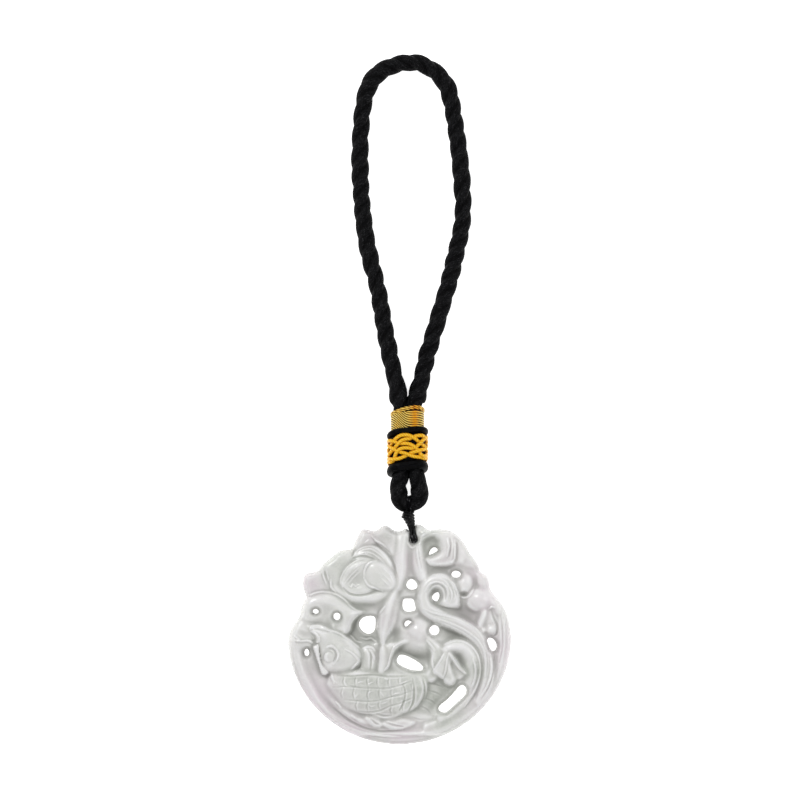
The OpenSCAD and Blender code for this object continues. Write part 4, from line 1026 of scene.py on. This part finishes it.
# Fine raised lines, as points
LIPS = [
    # carp: eyelid, lips, barbel, head, gills
    [(-19.4, -3), (-18.6, -2.7), (-17.7, -2.7), (-16.7, -3.8), (-16.2, -5), (-16.7, -6.3), (-17.6, -7.3)],
    [(-23.6, 1.6), (-23.3, 2.3), (-22.2, 2.7), (-21, 2.6), (-19.6, 1.9), (-18.4, 1.2)],
    [(-22.9, 0.8), (-22, 0.3), (-21.4, -0.6), (-21.4, -1.5), (-22.3, -2.1), (-22.9, -2.8)],
    [(-28.4, -0.5), (-27.4, -1.3), (-26, -1.5), (-24.4, -1.4), (-23.2, -1.8), (-22.8, -2.3)],
    [(-28.5, -0.6), (-27.9, -1.5), (-27.6, -2.2)], [(-27.8, -0.2), (-26.8, -0.9), (-26.2, -1.4)],
    [(-18, -9.9), (-17.9, -11), (-17.4, -12.4)],
    [(-19.2, 1.6), (-17, 1), (-15, 0), (-12.8, -1.4), (-11.2, -2.8), (-10.2, -4)],
    [(-14.6, -3.4), (-12.8, -4.4), (-11.6, -5.6), (-10.9, -6.6), (-11.8, -7.8), (-13, -8.8)],
    [(-10, -3.4), (-8.8, -2.9), (-7.4, -3.2), (-6.6, -4.2)], [(-7.6, -4.5), (-7, -5.4), (-6.8, -6.4)],
    # ledges by the large gap
    [(-13.6, 0.2), (-12.6, -0.6), (-11.6, -1.6), (-10.2, -1.9)],
    [(-10.6, -0.6), (-9, -1), (-7.8, -0.8), (-6.6, -1.6)], [(-5.9, 5.2), (-5.2, 6.4), (-4.2, 7.6)],
    # flower and petals
    [(-9.7, 15), (-9.4, 17.2), (-8.2, 18.9), (-6.4, 19.4)],
    [(-9.7, 15), (-8.6, 13.2), (-6.8, 12.2), (-4.8, 11.5)], [(-6.8, 24.6), (-5, 23.8), (-3.4, 22.2)],
    [(-8.4, 26.8), (-6.6, 24.8), (-4.6, 22.6), (-2.8, 21)], [(-20.4, 17.6), (-20.2, 15.6), (-19.4, 13.4)],
    [(-18.2, 14.6), (-18.2, 12.6), (-17, 11.2)],
    [(-25, 9.4), (-23.4, 10.6), (-21, 11.3), (-18.5, 11.2), (-16.4, 10.4), (-14.4, 9), (-12.4, 7.2),
     (-10.2, 6.1)],
    # thread hole, upright folds
    [(1.4, 27.2), (1.9, 25.4), (2.1, 23.8), (2.8, 22.7), (3.8, 23.8), (4.3, 25.2), (3.9, 27.4)],
    [(4.2, 24.5), (4.2, 22), (4.6, 19), (5.2, 16.6)],
    # upper right leaf
    [(4.4, 24.9), (5.6, 26), (7.4, 26.8), (9.2, 26.9)], [(12.1, 25.4), (12.4, 23), (12, 20.6)],
    [(13.9, 25), (14.1, 22.6), (13.9, 20), (13.2, 18.8)],
    [(6.6, 19.8), (7.4, 20.5), (8.6, 20.8), (9.8, 21.6)], [(6.7, 19.6), (7.2, 18.8), (7.8, 18.1)],
    # middle curl and the long stem
    [(6.2, 11.4), (7.4, 13.3), (9.4, 14), (11.4, 13.1), (12.2, 11.2), (11.9, 9.2)],
    [(8.2, 15.8), (10.4, 16), (12.4, 15.2), (13.8, 13.2), (14.8, 11), (15.2, 8.8)],
    [(9.4, 8.6), (10.4, 7.9), (12.2, 7.5), (14.6, 7.3)], [(12.9, 12.6), (13.3, 10.6), (13, 8.8)],
    [(5.8, 7), (8.6, 5.9), (12, 5.2), (15, 4.4), (18, 2.8), (20.4, 0.8), (22, -1.6)],
    [(8.6, 4.6), (13, 3.2), (17, 1.2), (19.8, -1), (21.4, -3.6), (22, -7), (21.8, -10.6)],
    [(21.6, -1.2), (23, -3.6), (23.5, -7), (23.3, -10), (22.4, -13), (20.8, -15.8)],
    # knob and leaf ends
    [(13.8, 13.4), (14.6, 11.6), (15.4, 10.3), (16.4, 9.8), (17.4, 10.2), (18.4, 11.4), (19, 12.4)],
    [(22.8, 6.8), (23.6, 7.4), (24.4, 7.2)],
    # lower right leaf
    [(11.1, -2.4), (12.8, -1.6), (14.6, -1.2), (16.5, -1.6), (18.3, -2.7), (19.8, -4.6), (20.6, -7.4),
     (20.5, -10.6), (19.6, -13.4), (18.2, -16), (16.4, -18.6)],
    [(18.7, -6), (19.3, -8), (19.3, -10.6), (18.6, -12.8), (17.4, -15)],
    [(11.2, -4.6), (9.9, -6.9), (8.3, -9.3)], [(12.4, -4.6), (11.9, -7), (11.5, -9.4), (10.9, -11)],
    [(13, -5), (14.2, -7.2), (15.4, -8.8), (16.8, -9.8)], [(6.6, -1.2), (7.8, -2.6), (8.8, -4)],
    [(8.2, -5.2), (8, -6.8), (8.5, -9)], [(0.6, -1.5), (-1.6, -2.9), (-2.6, -5.4), (-3.2, -7.8), (-4.2, -9)],
    # rim
    [(-16.9, -17.2), (-16.2, -18), (-15.6, -18.8)], [(-12.8, -20.8), (-12, -21.4), (-11, -22)],
    [(-21, -19.4), (-17, -22.2), (-12, -24.6), (-8, -25.6), (-4, -26.2), (0, -26.4)],
    [(-28.7, -3), (-28, -7.6), (-26.2, -12.6), (-23.2, -17.4)],
]
# Finer raised lines: flower, petals
FINE_LIPS = [
    [(-9.6, 24), (-8.6, 24.6), (-8.4, 25)],
    [(-13.6, 13.2), (-12.9, 12.6), (-12.6, 13.4), (-11.8, 12.8), (-11, 13.2)],
    [(-15.9, 13.2), (-15.6, 15), (-14.7, 16.9), (-13.2, 18.5), (-11.4, 19.5), (-9.2, 20)],
    [(-14.6, 13.6), (-12.8, 15.8), (-10.8, 17.8)], [(-13.8, 13.4), (-12, 15.4), (-10.4, 17)],
    [(-14.8, 14.4), (-13, 17)], [(-12.4, 17.2), (-10.4, 18.6), (-8.8, 19)],
    [(-4.4, 17.4), (-3, 16), (-2.2, 14.6)], [(-5, 16.2), (-3.6, 15), (-2.6, 13.8)],
    [(-5.4, 15.2), (-4, 13.8), (-3, 13)],
    [(-10.8, 21.1), (-9.2, 21.7), (-7.2, 21.2), (-5.4, 19.8), (-3.8, 18.2)],
    [(-9.6, 21.9), (-9, 21.1), (-8.6, 21.5)], [(-9.8, 22.3), (-8, 22.5), (-6.2, 21.6), (-4.4, 20)],
    [(-11.6, 25.1), (-10.4, 24.3)], [(-3.6, 25.8), (-2.8, 25.6)], [(-3.2, 26.4), (-2.2, 26.2)],
    [(-12.4, 20.6), (-11, 22.3), (-8.6, 23.2), (-6.2, 22.9)], [(-7.4, 26.4), (-5.8, 24.6), (-4, 22.6)],
    [(-19.4, 17), (-19, 15), (-18.2, 13.2)],
]
# Grooves, as points
CUTS = [
    # carp: mouth, gills, flank
    [(-23.4, 1.4), (-21.8, 1.7), (-20, 1.2), (-18.6, 0.9)],
    [(-18.8, -3.5), (-17.8, -3.5), (-17, -4.5), (-17.1, -6), (-17.7, -6.8)],
    [(-23.4, 0.6), (-22.6, -0.1), (-22.3, -1.1), (-23.2, -1.5)], [(-11, -6.8), (-11.6, -8.4), (-12.8, -9.4)],
    [(-10.4, -6.2), (-10.8, -8), (-11.6, -9.2)], [(-8.6, -3.6), (-7.9, -5), (-7.8, -7), (-8, -9)],
    [(0.6, -12.6), (1, -15), (0.6, -17.6), (-0.4, -19.4)],
    [(3, -11.2), (3.4, -14.4), (3.1, -17.5), (1.8, -20)],
    [(5.6, -11.2), (6.2, -13.6), (5.8, -16.2), (4.4, -18.6)],
    # fins
    [(-6.4, -20.4), (-4.4, -20.9), (-2.6, -20.8)], [(-4, -22.6), (-1.6, -23.4), (0.6, -23.7)],
    [(-7.8, -21.8), (-6.6, -22.8), (-5.6, -23.2)],
    # flower and petals
    [(-7.6, 23.7), (-6, 23.2), (-4.2, 21.9), (-2.6, 19.9), (-1.6, 17.6), (-1.4, 15.6)],
    [(-12.6, 20), (-10.8, 20.6), (-9, 20.5), (-7, 19.9)],
    [(-15, 12.4), (-13.4, 10.9), (-11, 10.4), (-8.4, 10.8), (-6, 11.6)],
    [(-12.6, 22.4), (-12.4, 21.6), (-12.8, 20.6)],
    # upper right leaf
    [(12.7, 25.6), (12.9, 23.2), (12.5, 20.6)],
    # middle curl
    [(6.8, 11), (7.9, 12.8), (9.5, 13.4), (11, 12.5), (11.6, 11), (11.4, 9.4)],
    [(10.4, 15.2), (12.2, 14.2), (13.2, 12.2), (13.8, 10)],
    # rim
    [(-17.6, -18.9), (-14, -21.8), (-10, -23.9), (-6, -24.9), (-3, -25), (1, -24.7)],
    [(23.4, 6.6), (24.1, 4.6), (25, 2.6), (24.8, 0.4), (23.8, -0.4)],
    [(25.8, 6), (26.3, 1.6), (26.3, -3), (25.6, -7)], [(27, 5), (27.3, 1.6), (27.3, -3), (26.6, -7)],
]
# Faint grooves: rays of the tail and of the fin below it, edges on the rim and on the upper right leaf
FAINT_CUTS = [
    [(24, -6.2), (24.1, -8.7), (23.5, -11.5), (22.4, -14.2), (20.8, -16.6)],
    [(14.6, 25), (14.7, 22.6), (14.6, 20), (14.2, 18.8)], [(6.8, -12.6), (9, -12.8), (11, -13.6)],
    [(6.8, -14.4), (8.8, -14.8), (10.6, -15.8)], [(6, -16.4), (7.8, -17), (9.2, -18.2)],
    [(5, -18.4), (6.6, -19.2), (7.8, -20.4)], [(2.8, -21.2), (4.6, -21.8), (6.6, -21.8)],
]
# Edges of the carp's scales, as points: along the rows, then across them
SCALE_ROWS = [
    [(-16.6, -10.4), (-13, -10.5), (-10.4, -10.3), (-7, -10.2), (-3.6, -10.6), (-0.6, -10.6), (1.6, -10.4)],
    [(-17.8, -13.4), (-13.4, -13.2), (-10, -13.5), (-6.6, -13.6), (-4, -13.7), (-2, -13.3), (0.4, -12.6),
     (3.2, -11.6)],
    [(-14.8, -16.6), (-12.4, -16.8), (-8.6, -17.1), (-5.4, -16.7), (-2.6, -15.9), (0.5, -15.2), (3, -14.2)],
    [(-11.6, -19.6), (-8.4, -19.9), (-5.6, -19.5), (-2.7, -18.2), (0, -17.5), (1.7, -16.7), (3.3, -16)],
]
SCALE_SIDES = [
    [(-14.8, -10.8), (-15.2, -12), (-14.9, -13.2)], [(-11.8, -10.8), (-12.1, -12), (-11.9, -13.2)],
    [(-8.8, -10.9), (-9, -12.2), (-8.5, -13.4)], [(-6.1, -10.9), (-6.4, -12.2), (-6, -13.5)],
    [(-3.2, -11), (-3.5, -12.2), (-3.2, -13.4)], [(-0.6, -11), (-0.8, -12), (-0.4, -12.8)],
    [(-15.2, -13.6), (-15.7, -15), (-15.4, -16.2)], [(-12.2, -13.4), (-12.6, -15), (-12.3, -16.7)],
    [(-8.5, -13.7), (-8.9, -15.4), (-8.6, -17)], [(-5.6, -13.8), (-5.9, -15.2), (-5.5, -16.6)],
    [(-2.5, -13.6), (-2.8, -15), (-2.5, -15.9)], [(0.5, -12.8), (0.2, -14), (0.5, -15.2)],
    [(-11.5, -17), (-11.9, -18.2), (-11.6, -19.4)], [(-8.7, -17.3), (-9, -18.4), (-8.7, -19.6)],
    [(-5.7, -16.9), (-6, -18.2), (-5.6, -19.3)], [(-2.5, -16), (-2.8, -17), (-2.6, -18.2)],
    [(-2.5, -18.3), (-2.9, -19.4), (-2.6, -20.4)], [(0.5, -15.3), (0.3, -16.4), (0.5, -17.2)],
    [(0.5, -17.5), (0.2, -18.6), (0.4, -19.6)], [(2.8, -12), (2.6, -13.2), (2.9, -14.2)],
]
# Short bright tips on some of the scales
SCALE_TIPS = [
    [(-14.6, -12.2), (-14.3, -13), (-13.2, -13.3)], [(-11.4, -12.4), (-10.6, -12), (-9.8, -12.1)],
    [(-8.6, -13), (-8, -12.3), (-7.2, -12.1)], [(-4.2, -11.1), (-3.7, -11.4), (-3.2, -11.3)],
    [(-12.3, -14.9), (-11.9, -16), (-11.2, -15)], [(-8.6, -16), (-8.3, -14.7), (-6.8, -14.4)],
    [(-5.4, -14.6), (-4.9, -15.3), (-4.4, -15.9)], [(-17.6, -10.2), (-17.5, -11.6), (-16.6, -12.3)],
    [(-0.8, -12.8), (0.4, -12.3), (1.8, -11.8)], [(-5.4, -17.7), (-4.4, -17.5), (-3.3, -17)],
    [(-8.4, -17.9), (-7.8, -18.4), (-6.9, -18.2)], [(-2, -15.2), (-1.2, -15), (-0.4, -14.8)],
]
# Each kind of line: half width, height
LIP = (0.6, 0.36)
FINE_LIP = (0.42, 0.2)
CUT = (0.62, -0.32)
SCALE_CUT = (0.5, -0.15)
SCALE_EDGE = (0.42, 0.1)
ROW_EDGE = (0.42, 0.05)
SCALE_TIP = (0.45, 0.2)
GILL_BAR = [
    (-22.9, -3.1), (-21.5, -2.4), (-21.2, -4.7), (-20.6, -7.4), (-18.9, -9.6), (-20.4, -10.2), (-21.4, -7.6),
    (-22.2, -5.2),
]
# How far the raised edge of a scale lies from its groove
EDGE_SHIFT = 0.5


def detail(r):
    """Fine lines, hollows and scales on the forms."""
    # carp: eye, mouth, gill bar
    r.hollow(-18.5, -5.4, 2.4, 2.4, 0, 0.6)
    r.pad(oval(-18.6, -5.6, 1.4, 1.4), 6.8, 0.3, 0.9)
    r.hollow(-25.4, 0.4, 2, 1.2, -20, 0.35)
    r.pad(GILL_BAR, 6.4, 0.4, 0.5)
    below = [[(x, y - EDGE_SHIFT) for x, y in line] for line in SCALE_ROWS]
    beside = [[(x + EDGE_SHIFT, y) for x, y in line] for line in SCALE_SIDES]
    kinds = [
        (SCALE_ROWS + SCALE_SIDES + FAINT_CUTS, SCALE_CUT), (below, ROW_EDGE), (beside, SCALE_EDGE),
        (SCALE_TIPS, SCALE_TIP), (CUTS, CUT), (LIPS, LIP), (FINE_LIPS, FINE_LIP),
    ]
    for lines, size in kinds:
        for points in lines:
            r.stroke(points, *size)
    # thread hole and knob
    r.hollow(3.2, 25.8, 1.2, 3, 0, 1.15)
    r.hollow(16.4, 10.8, 1.2, 1, 0, 0.8)


# Blur of the forms before the fine lines are added, and of everything after
FORM_BLUR = 0.28
LAST_BLUR = 0.09
# Rounding of the disc's edge, larger on its lower half, and of the gaps' edges: radius, lowest height
EDGE_RADIUS = 1.2
LOWER_RADIUS = 1.6
RADIUS_CHANGE_Y = 8
EDGE_LOW = 2.3
GAP_RADIUS = 1.1
GAP_LOW = 2.6


def round_over(z, d, radius, low):
    """Lets heights fall away in a quarter circle over the last stretch before an edge."""
    t = np.clip(d / radius, 0, 1)
    return np.where(d < radius, np.minimum(z, low + (z - low) * np.sqrt(1 - (1 - t) ** 2)), z)


def build_relief():
    """The carving, and how far inside the stone each place of its grid is."""
    r = Relief((-30.4, -29.4), (30, 29.8))
    carve(r)
    r.z = r.spread(r.z, FORM_BLUR)
    detail(r)
    r.z = r.spread(r.z, LAST_BLUR)
    outer, w = r.inside(disc_edge(), 1, smooth=False)
    solid = np.full(r.x.shape, -9.0)
    solid[w] = outer
    radius = EDGE_RADIUS + (LOWER_RADIUS - EDGE_RADIUS) / (1 + np.exp((r.y - RADIUS_CHANGE_Y) / 2))
    r.z = round_over(r.z, solid, radius, EDGE_LOW)
    for outline in [smooth_path(g, 0.2, closed=True) for g in GAPS] + [oval(*g) for g in OVAL_GAPS]:
        d, w = r.inside(outline, 2.2, smooth=False)
        r.z[w] = round_over(r.z[w], -d, GAP_RADIUS, GAP_LOW)
        solid[w] = np.minimum(solid[w], -d)
    return r, solid


# The drilled hole slants up towards the edge; a groove leads from it across the back
HOLE = (3.3, 24.85)
HOLE_SLANT = 0.6
HOLE_REACH = 1.6
GROOVE_FROM = (3.3, 25.3)
GROOVE_TO = (2.7, 30)
GROOVE_R = 1.3
# Wall from the front's edge to the back: how far in, and the height
WALL = [(0, 1.3), (0.1, 0.65), (0.3, 0.22), (0.55, 0)]
# As shares of a cell: how near the edge a grid point is moved onto it, and the least depth of a face
NEAR_EDGE = 0.55
LEAST_DEPTH = 0.1


def back_height(x, y):
    dx, dy = GROOVE_TO[0] - GROOVE_FROM[0], GROOVE_TO[1] - GROOVE_FROM[1]
    u = np.maximum(0, ((x - GROOVE_FROM[0]) * dx + (y - GROOVE_FROM[1]) * dy) / (dx * dx + dy * dy))
    d = np.hypot(x - GROOVE_FROM[0] - u * dx, y - GROOVE_FROM[1] - u * dy)
    return np.sqrt(np.maximum(0, GROOVE_R**2 - d**2)) * 0.9


def corners_of(grid):
    """The four corners of every cell, going round it."""
    return [grid[:-1, :-1], grid[:-1, 1:], grid[1:, 1:], grid[1:, :-1]]


def front_faces(solid):
    """Faces on the cells inside the stone: four-sided, or three-sided where one corner is outside."""
    number = corners_of(np.arange(solid.size).reshape(solid.shape))
    has = corners_of(solid > -NEAR_EDGE * GRID)
    depth = corners_of(solid)
    count = sum(h.astype(int) for h in has)
    full = (count == 4) & (sum(depth) > LEAST_DEPTH * GRID)
    faces = np.stack([c[full] for c in number], -1).tolist()
    for missing in range(4):
        left = [k for k in range(4) if k != missing]
        three = (count == 3) & ~has[missing] & (sum(depth[k] for k in left) > LEAST_DEPTH * GRID)
        faces += np.stack([number[k][three] for k in left], -1).tolist()
    return faces


def border_of(faces):
    """Edges that only one face has, in the direction of that face."""
    once = {}
    for face in faces:
        for a, b in zip(face, face[1:] + face[:1]):
            if (b, a) in once:
                del once[(b, a)]
            else:
                once[(a, b)] = True
    return list(once)


def disc_mesh(r, solid):
    """Points and faces of the disc: the carved front, the walls of the edge and gaps, and the flat back."""
    gy, gx = np.gradient(solid, GRID)
    slope = np.maximum(np.hypot(gx, gy), 1e-6)
    inward = np.stack([gx / slope, gy / slope], -1)
    moved = np.where(np.abs(solid) < NEAR_EDGE * GRID, solid, 0)
    place = np.stack([r.x, r.y], -1) - moved[..., None] * inward

    faces = front_faces(solid)
    used = np.unique([k for face in faces for k in face])
    renumber = np.full(solid.size, -1)
    renumber[used] = np.arange(len(used))
    faces = [renumber[face].tolist() for face in faces]
    front = np.column_stack([place.reshape(-1, 2), r.z.ravel()])[used]
    border = border_of(faces)
    rim = sorted({k for edge in border for k in edge})
    order = {k: i for i, k in enumerate(rim)}
    edges = [(order[a], order[b]) for a, b in border]

    points = [front]
    rings = [np.array(rim)]
    drilled = np.hypot(front[rim, 0] - HOLE[0], front[rim, 1] - HOLE[1]) < HOLE_REACH
    for inset, height in WALL:
        ring = front[rim].copy()
        ring[:, :2] += inset * inward.reshape(-1, 2)[used][rim]
        ring[drilled, 1] += HOLE_SLANT * (1 - height / WALL[0][1] / 2)
        floor = back_height(ring[:, 0], ring[:, 1])
        ring[:, 2] = np.minimum(np.maximum(height, floor), front[rim, 2] - 0.05)
        rings.append(np.arange(len(rim)) + sum(map(len, points)))
        points.append(ring)
    for upper, low in zip(rings, rings[1:]):
        faces += [[int(upper[j]), int(upper[i]), int(low[i]), int(low[j])] for i, j in edges]
    points, back = close_back(np.vstack(points), rings[-1], edges)
    return points, faces + back


# Points within the back: closer together across the groove, then sparse
GROOVE_GRID = 0.3
GROOVE_ACROSS = 1.5
GROOVE_ALONG = (0.4, 3.6)
GROOVE_START = 0.9
GROOVE_DRIFT = 0.09
BACK_GRID = 3
BACK_CLEAR = 0.15


def close_back(points, last_ring, edges):
    """The flat back as triangles between the lowest ring's edges, with extra points where the groove runs."""
    flat = points[last_ring][:, :2]
    outline = [(flat[i], flat[j]) for i, j in edges]
    across = np.arange(-GROOVE_ACROSS, GROOVE_ACROSS + 0.01, GROOVE_GRID)
    u, v = [g.ravel() for g in np.meshgrid(across, np.arange(*GROOVE_ALONG, GROOVE_GRID))]
    extra = np.column_stack([u - GROOVE_DRIFT * v, v + GROOVE_START]) + GROOVE_FROM
    sparse = [(a, b) for a in range(-27, 28, BACK_GRID) for b in range(-27, 28, BACK_GRID)]
    extra = np.vstack([extra, sparse])
    extra = extra[enclosed(*extra.T, outline)]
    gap = np.min(np.hypot(*(extra[:, None] - flat[None]).transpose(2, 0, 1)), axis=1)
    coords = np.vstack([flat, extra[gap > BACK_CLEAR]]).tolist()
    verts, _, triangles, origin, _, _ = delaunay_2d_cdt([tuple(p) for p in coords], edges, [], 0, 1e-6)
    where = np.array([tuple(p) for p in verts])
    numbers, added = [], []
    for (x, y), sources in zip(where, origin):
        if sources and sources[0] < len(flat):
            numbers.append(int(last_ring[sources[0]]))
        else:
            numbers.append(len(points) + len(added))
            added.append((x, y, back_height(x, y)))
    middles = where[np.array([list(t) for t in triangles])].mean(1)
    kept = [t for t, inner in zip(triangles, enclosed(*middles.T, outline)) if inner]
    return np.vstack([points, added]), [[numbers[k] for k in t][::-1] for t in kept]


WELD = 0.03
HOLE_SIDES = 12


def weld(obj):
    """Joins points that lie almost together, and fills the small holes that are left."""
    shape = bmesh.new()
    shape.from_mesh(obj.data)
    bmesh.ops.remove_doubles(shape, verts=shape.verts, dist=WELD * MM)
    bmesh.ops.holes_fill(shape, edges=[e for e in shape.edges if e.is_boundary], sides=HOLE_SIDES)
    shape.to_mesh(obj.data)
    shape.free()


# Tints of the stone: x, y, reach, strength
LAVENDER = [
    (-22, -18, 10, 1), (-24, 13.5, 4, 0.8), (-13, -24, 8, 1), (27, -4, 7, 0.7), (22, -17, 7, 0.5),
    (21, 9, 5, 0.75), (-7, 26, 5, 0.8), (4, 1.5, 4, 0.35), (18, 5, 4, 0.8), (0, -26, 6, 0.9),
    (-13, -14, 5, 0.5), (2, 19, 4, 0.6), (13, 21, 5, 0.6), (19, 15, 4, 0.7), (23.6, 12, 3.4, 0.7),
    (-4.4, 4, 4, 0.5), (-4.8, -5, 3, 0.6), (-3, -20, 4, 0.6),
]
GREEN = [
    (-16, -3, 6, 0.5), (-8, -14, 8, 0.9), (4, -14, 6, 1), (-4, -4, 5, 0.5), (8, 24, 3.5, 0.8),
    (-17, 18, 5, 0.5), (-12, 9, 5, 0.5), (12, -14, 5, 0.8), (8, -6, 4, 0.5), (-6, 10, 5, 0.3),
    (14, 0, 4, 0.3), (19, -8, 4, 0.7), (12, -22.5, 5, 0.6), (-5, 25.6, 3, 0.5), (-9.6, 25.4, 2.4, 0.4),
    (18.6, -8.6, 3.4, 1), (13, -11, 2.4, 0.7), (8.4, -16.5, 3.4, 1), (-4, 26, 2.4, 0.6), (-1, -17, 6, 0.8),
    (14, 21, 3, 0.3), (-10, 13, 3.4, 0.4), (-7.5, 21.4, 3.4, 0.6), (-11.5, 20, 3, 0.55),
    (-5.6, 14.6, 3.4, 0.35), (-12.5, -12, 5, 0.85), (2, -17.5, 4, 0.9), (-5.6, -1.5, 3, 0.45),
]
# Patches made darker and less glossy by the same mix as the painted shade: x, y, reach, strength
DARKER_PATCHES = [
    (-6, -14.6, 7, 0.17), (3, -15.6, 5, 0.17), (8, -16.4, 3, 0.15), (19.2, -9.4, 3, 0.2), (-5, 25.8, 3, 0.16),
    (-5.4, -5.4, 2.6, 0.12), (-7.6, 21.4, 2.6, 0.12), (-12, 17, 3.4, 0.1), (-24, -9, 5, 0.08),
    (-18, -19, 5, 0.08), (12.6, -9.6, 2.6, 0.18), (-4.4, 5, 2, 0.14), (5.4, 11.4, 2, 0.08),
    (-21.6, 4.4, 1.7, 0.11), (-18.8, 3.5, 1.6, 0.12), (-16.4, 3.2, 1.7, 0.15),
]
# Painted shade below the stone round a place: how far round, the depth that darkens fully, its share
SHADE_BELOW = ((0.9, 0.8, 0.13), (2.6, 1.8, 0.36))
# Painted shade below a level: the level, the depth that darkens fully, its share
SHADE_LOW = (4.8, 2.2, 0.54)
# Painted shade in fine grooves and painted highlight on fine crests, from the blurred heights: blur, full
# height, share of the painted shade
FINE_BLUR = 0.45
FINE_FULL = 0.12
FINE_SHARE = 0.24
# Height from which a painted highlight makes the stone paler
HIGH = 6
# How far in from the edges the stone counts for the heights round a place
STONE_FROM = 0.6
# Bands along the edges where the painted shade changes and where the painted highlight of the crests fades
# out
EDGE_BAND = 0.8
WALL_BAND = 0.7
CREST_BAND = 1.5
# Less painted shade round the drilled hole: x, y, reach, strength
BY_HOLE = [(3.3, 24.55, 5**0.5, 0.9)]


def patches(table, x, y):
    out = np.zeros(len(x))
    for px, py, reach, strength in table:
        out = np.maximum(out, strength * np.exp(-((x - px) ** 2 + (y - py) ** 2) / reach**2))
    return out


def shading(r, solid):
    """Painted shade from the hollows and painted highlight from the crests, for each place of the grid."""
    stone = solid > STONE_FROM
    fine = (r.z - r.spread(r.z, FINE_BLUR)) / FINE_FULL
    painted_shade = FINE_SHARE * np.clip(-fine, 0, 1)
    for reach, depth, share in SHADE_BELOW:
        painted_shade = painted_shade + share * np.clip((r.around(reach, stone) - r.z) / depth, 0, 1)
    level, depth, share = SHADE_LOW
    painted_shade = painted_shade + share * np.clip((level - r.z) / depth, 0, 1)
    return np.clip(painted_shade, 0, 1), np.maximum(np.clip(fine, 0, 0.95), np.clip((r.z - HIGH) / 2, 0, 0.3))


def add_disc():
    relief, solid = build_relief()
    points, faces = disc_mesh(relief, solid)
    obj = add_mesh("jade_disc_carved", points, faces, jade_material())
    x, y = points[:, 0], points[:, 1]
    i = np.clip(np.round((x - relief.xs[0]) / GRID).astype(int), 0, len(relief.xs) - 1)
    j = np.clip(np.round((y - relief.ys[0]) / GRID).astype(int), 0, len(relief.ys) - 1)
    painted_shade, crest_highlight = shading(relief, solid)
    inward = solid[j, i]
    # painted shade: halved near the edges, then a band of it along the walls of the edge and gaps, less round
    # the drilled hole, with the darker patches added
    painted_shade = painted_shade[j, i] * np.clip(inward / EDGE_BAND, 0.5, 1)
    painted_shade = np.maximum(painted_shade, 0.5 * np.clip(1 - inward / WALL_BAND, 0, 1))
    painted_shade = painted_shade * (1 - patches(BY_HOLE, x, y)) + patches(DARKER_PATCHES, x, y)
    add_values(obj, "hollow", np.clip(painted_shade, 0, 1))
    # painted highlight on the crests, fading out near the edges
    add_values(obj, "crest", crest_highlight[j, i] * np.clip(inward / CREST_BAND - 0.4, 0, 1))
    add_values(obj, "lavender", patches(LAVENDER, x, y))
    add_values(obj, "green", patches(GREEN, x, y))
    weld(obj)
    settle(obj, "jade_disc")


add_disc()


# Floor, light and the end

FLOOR_HALF = 900
FLOOR_Z = -0.02
FLOOR_GLOW = 0.9
WORLD_LIGHT = 0.35
AIM = (0, 50, 0)
# Soft square lamps: name, place, width, power in watts
LAMPS = (
    ("key", (-260, 330, 480), 180, 1.5),
    ("fill", (340, 120, 420), 300, 0.62),
    ("low", (60, -380, 300), 220, 0.25),
)


def add_stage():
    white = (1, 1, 1)
    material = Surface("floor").finish(
        Base_Color=(0.9, 0.9, 0.9),
        Roughness=0.9,
        Specular_IOR_Level=0.1,
        Emission_Color=white,
        Emission_Strength=FLOOR_GLOW,
    )
    points = [(x * FLOOR_HALF, y * FLOOR_HALF, FLOOR_Z) for x, y in ((-1, -1), (1, -1), (1, 1), (-1, 1))]
    add_mesh("floor", points, [[0, 1, 2, 3]], material, smooth=False)

    world = bpy.data.worlds.new("World")
    world.use_nodes = True
    world.node_tree.nodes["Background"].inputs["Color"].default_value = (*white, 1)
    world.node_tree.nodes["Background"].inputs["Strength"].default_value = WORLD_LIGHT
    bpy.context.scene.world = world

    for name, place, width, power in LAMPS:
        data = bpy.data.lights.new(name, "AREA")
        data.size = width * MM
        data.energy = power
        lamp = add_object(name, data)
        lamp.location = Vector(place) * MM
        lamp.rotation_mode = "QUATERNION"
        lamp.rotation_quaternion = Vector((0, 0, -1)).rotation_difference(Vector(AIM) - Vector(place))
    bpy.context.scene.view_settings.view_transform = "Standard"


add_stage()
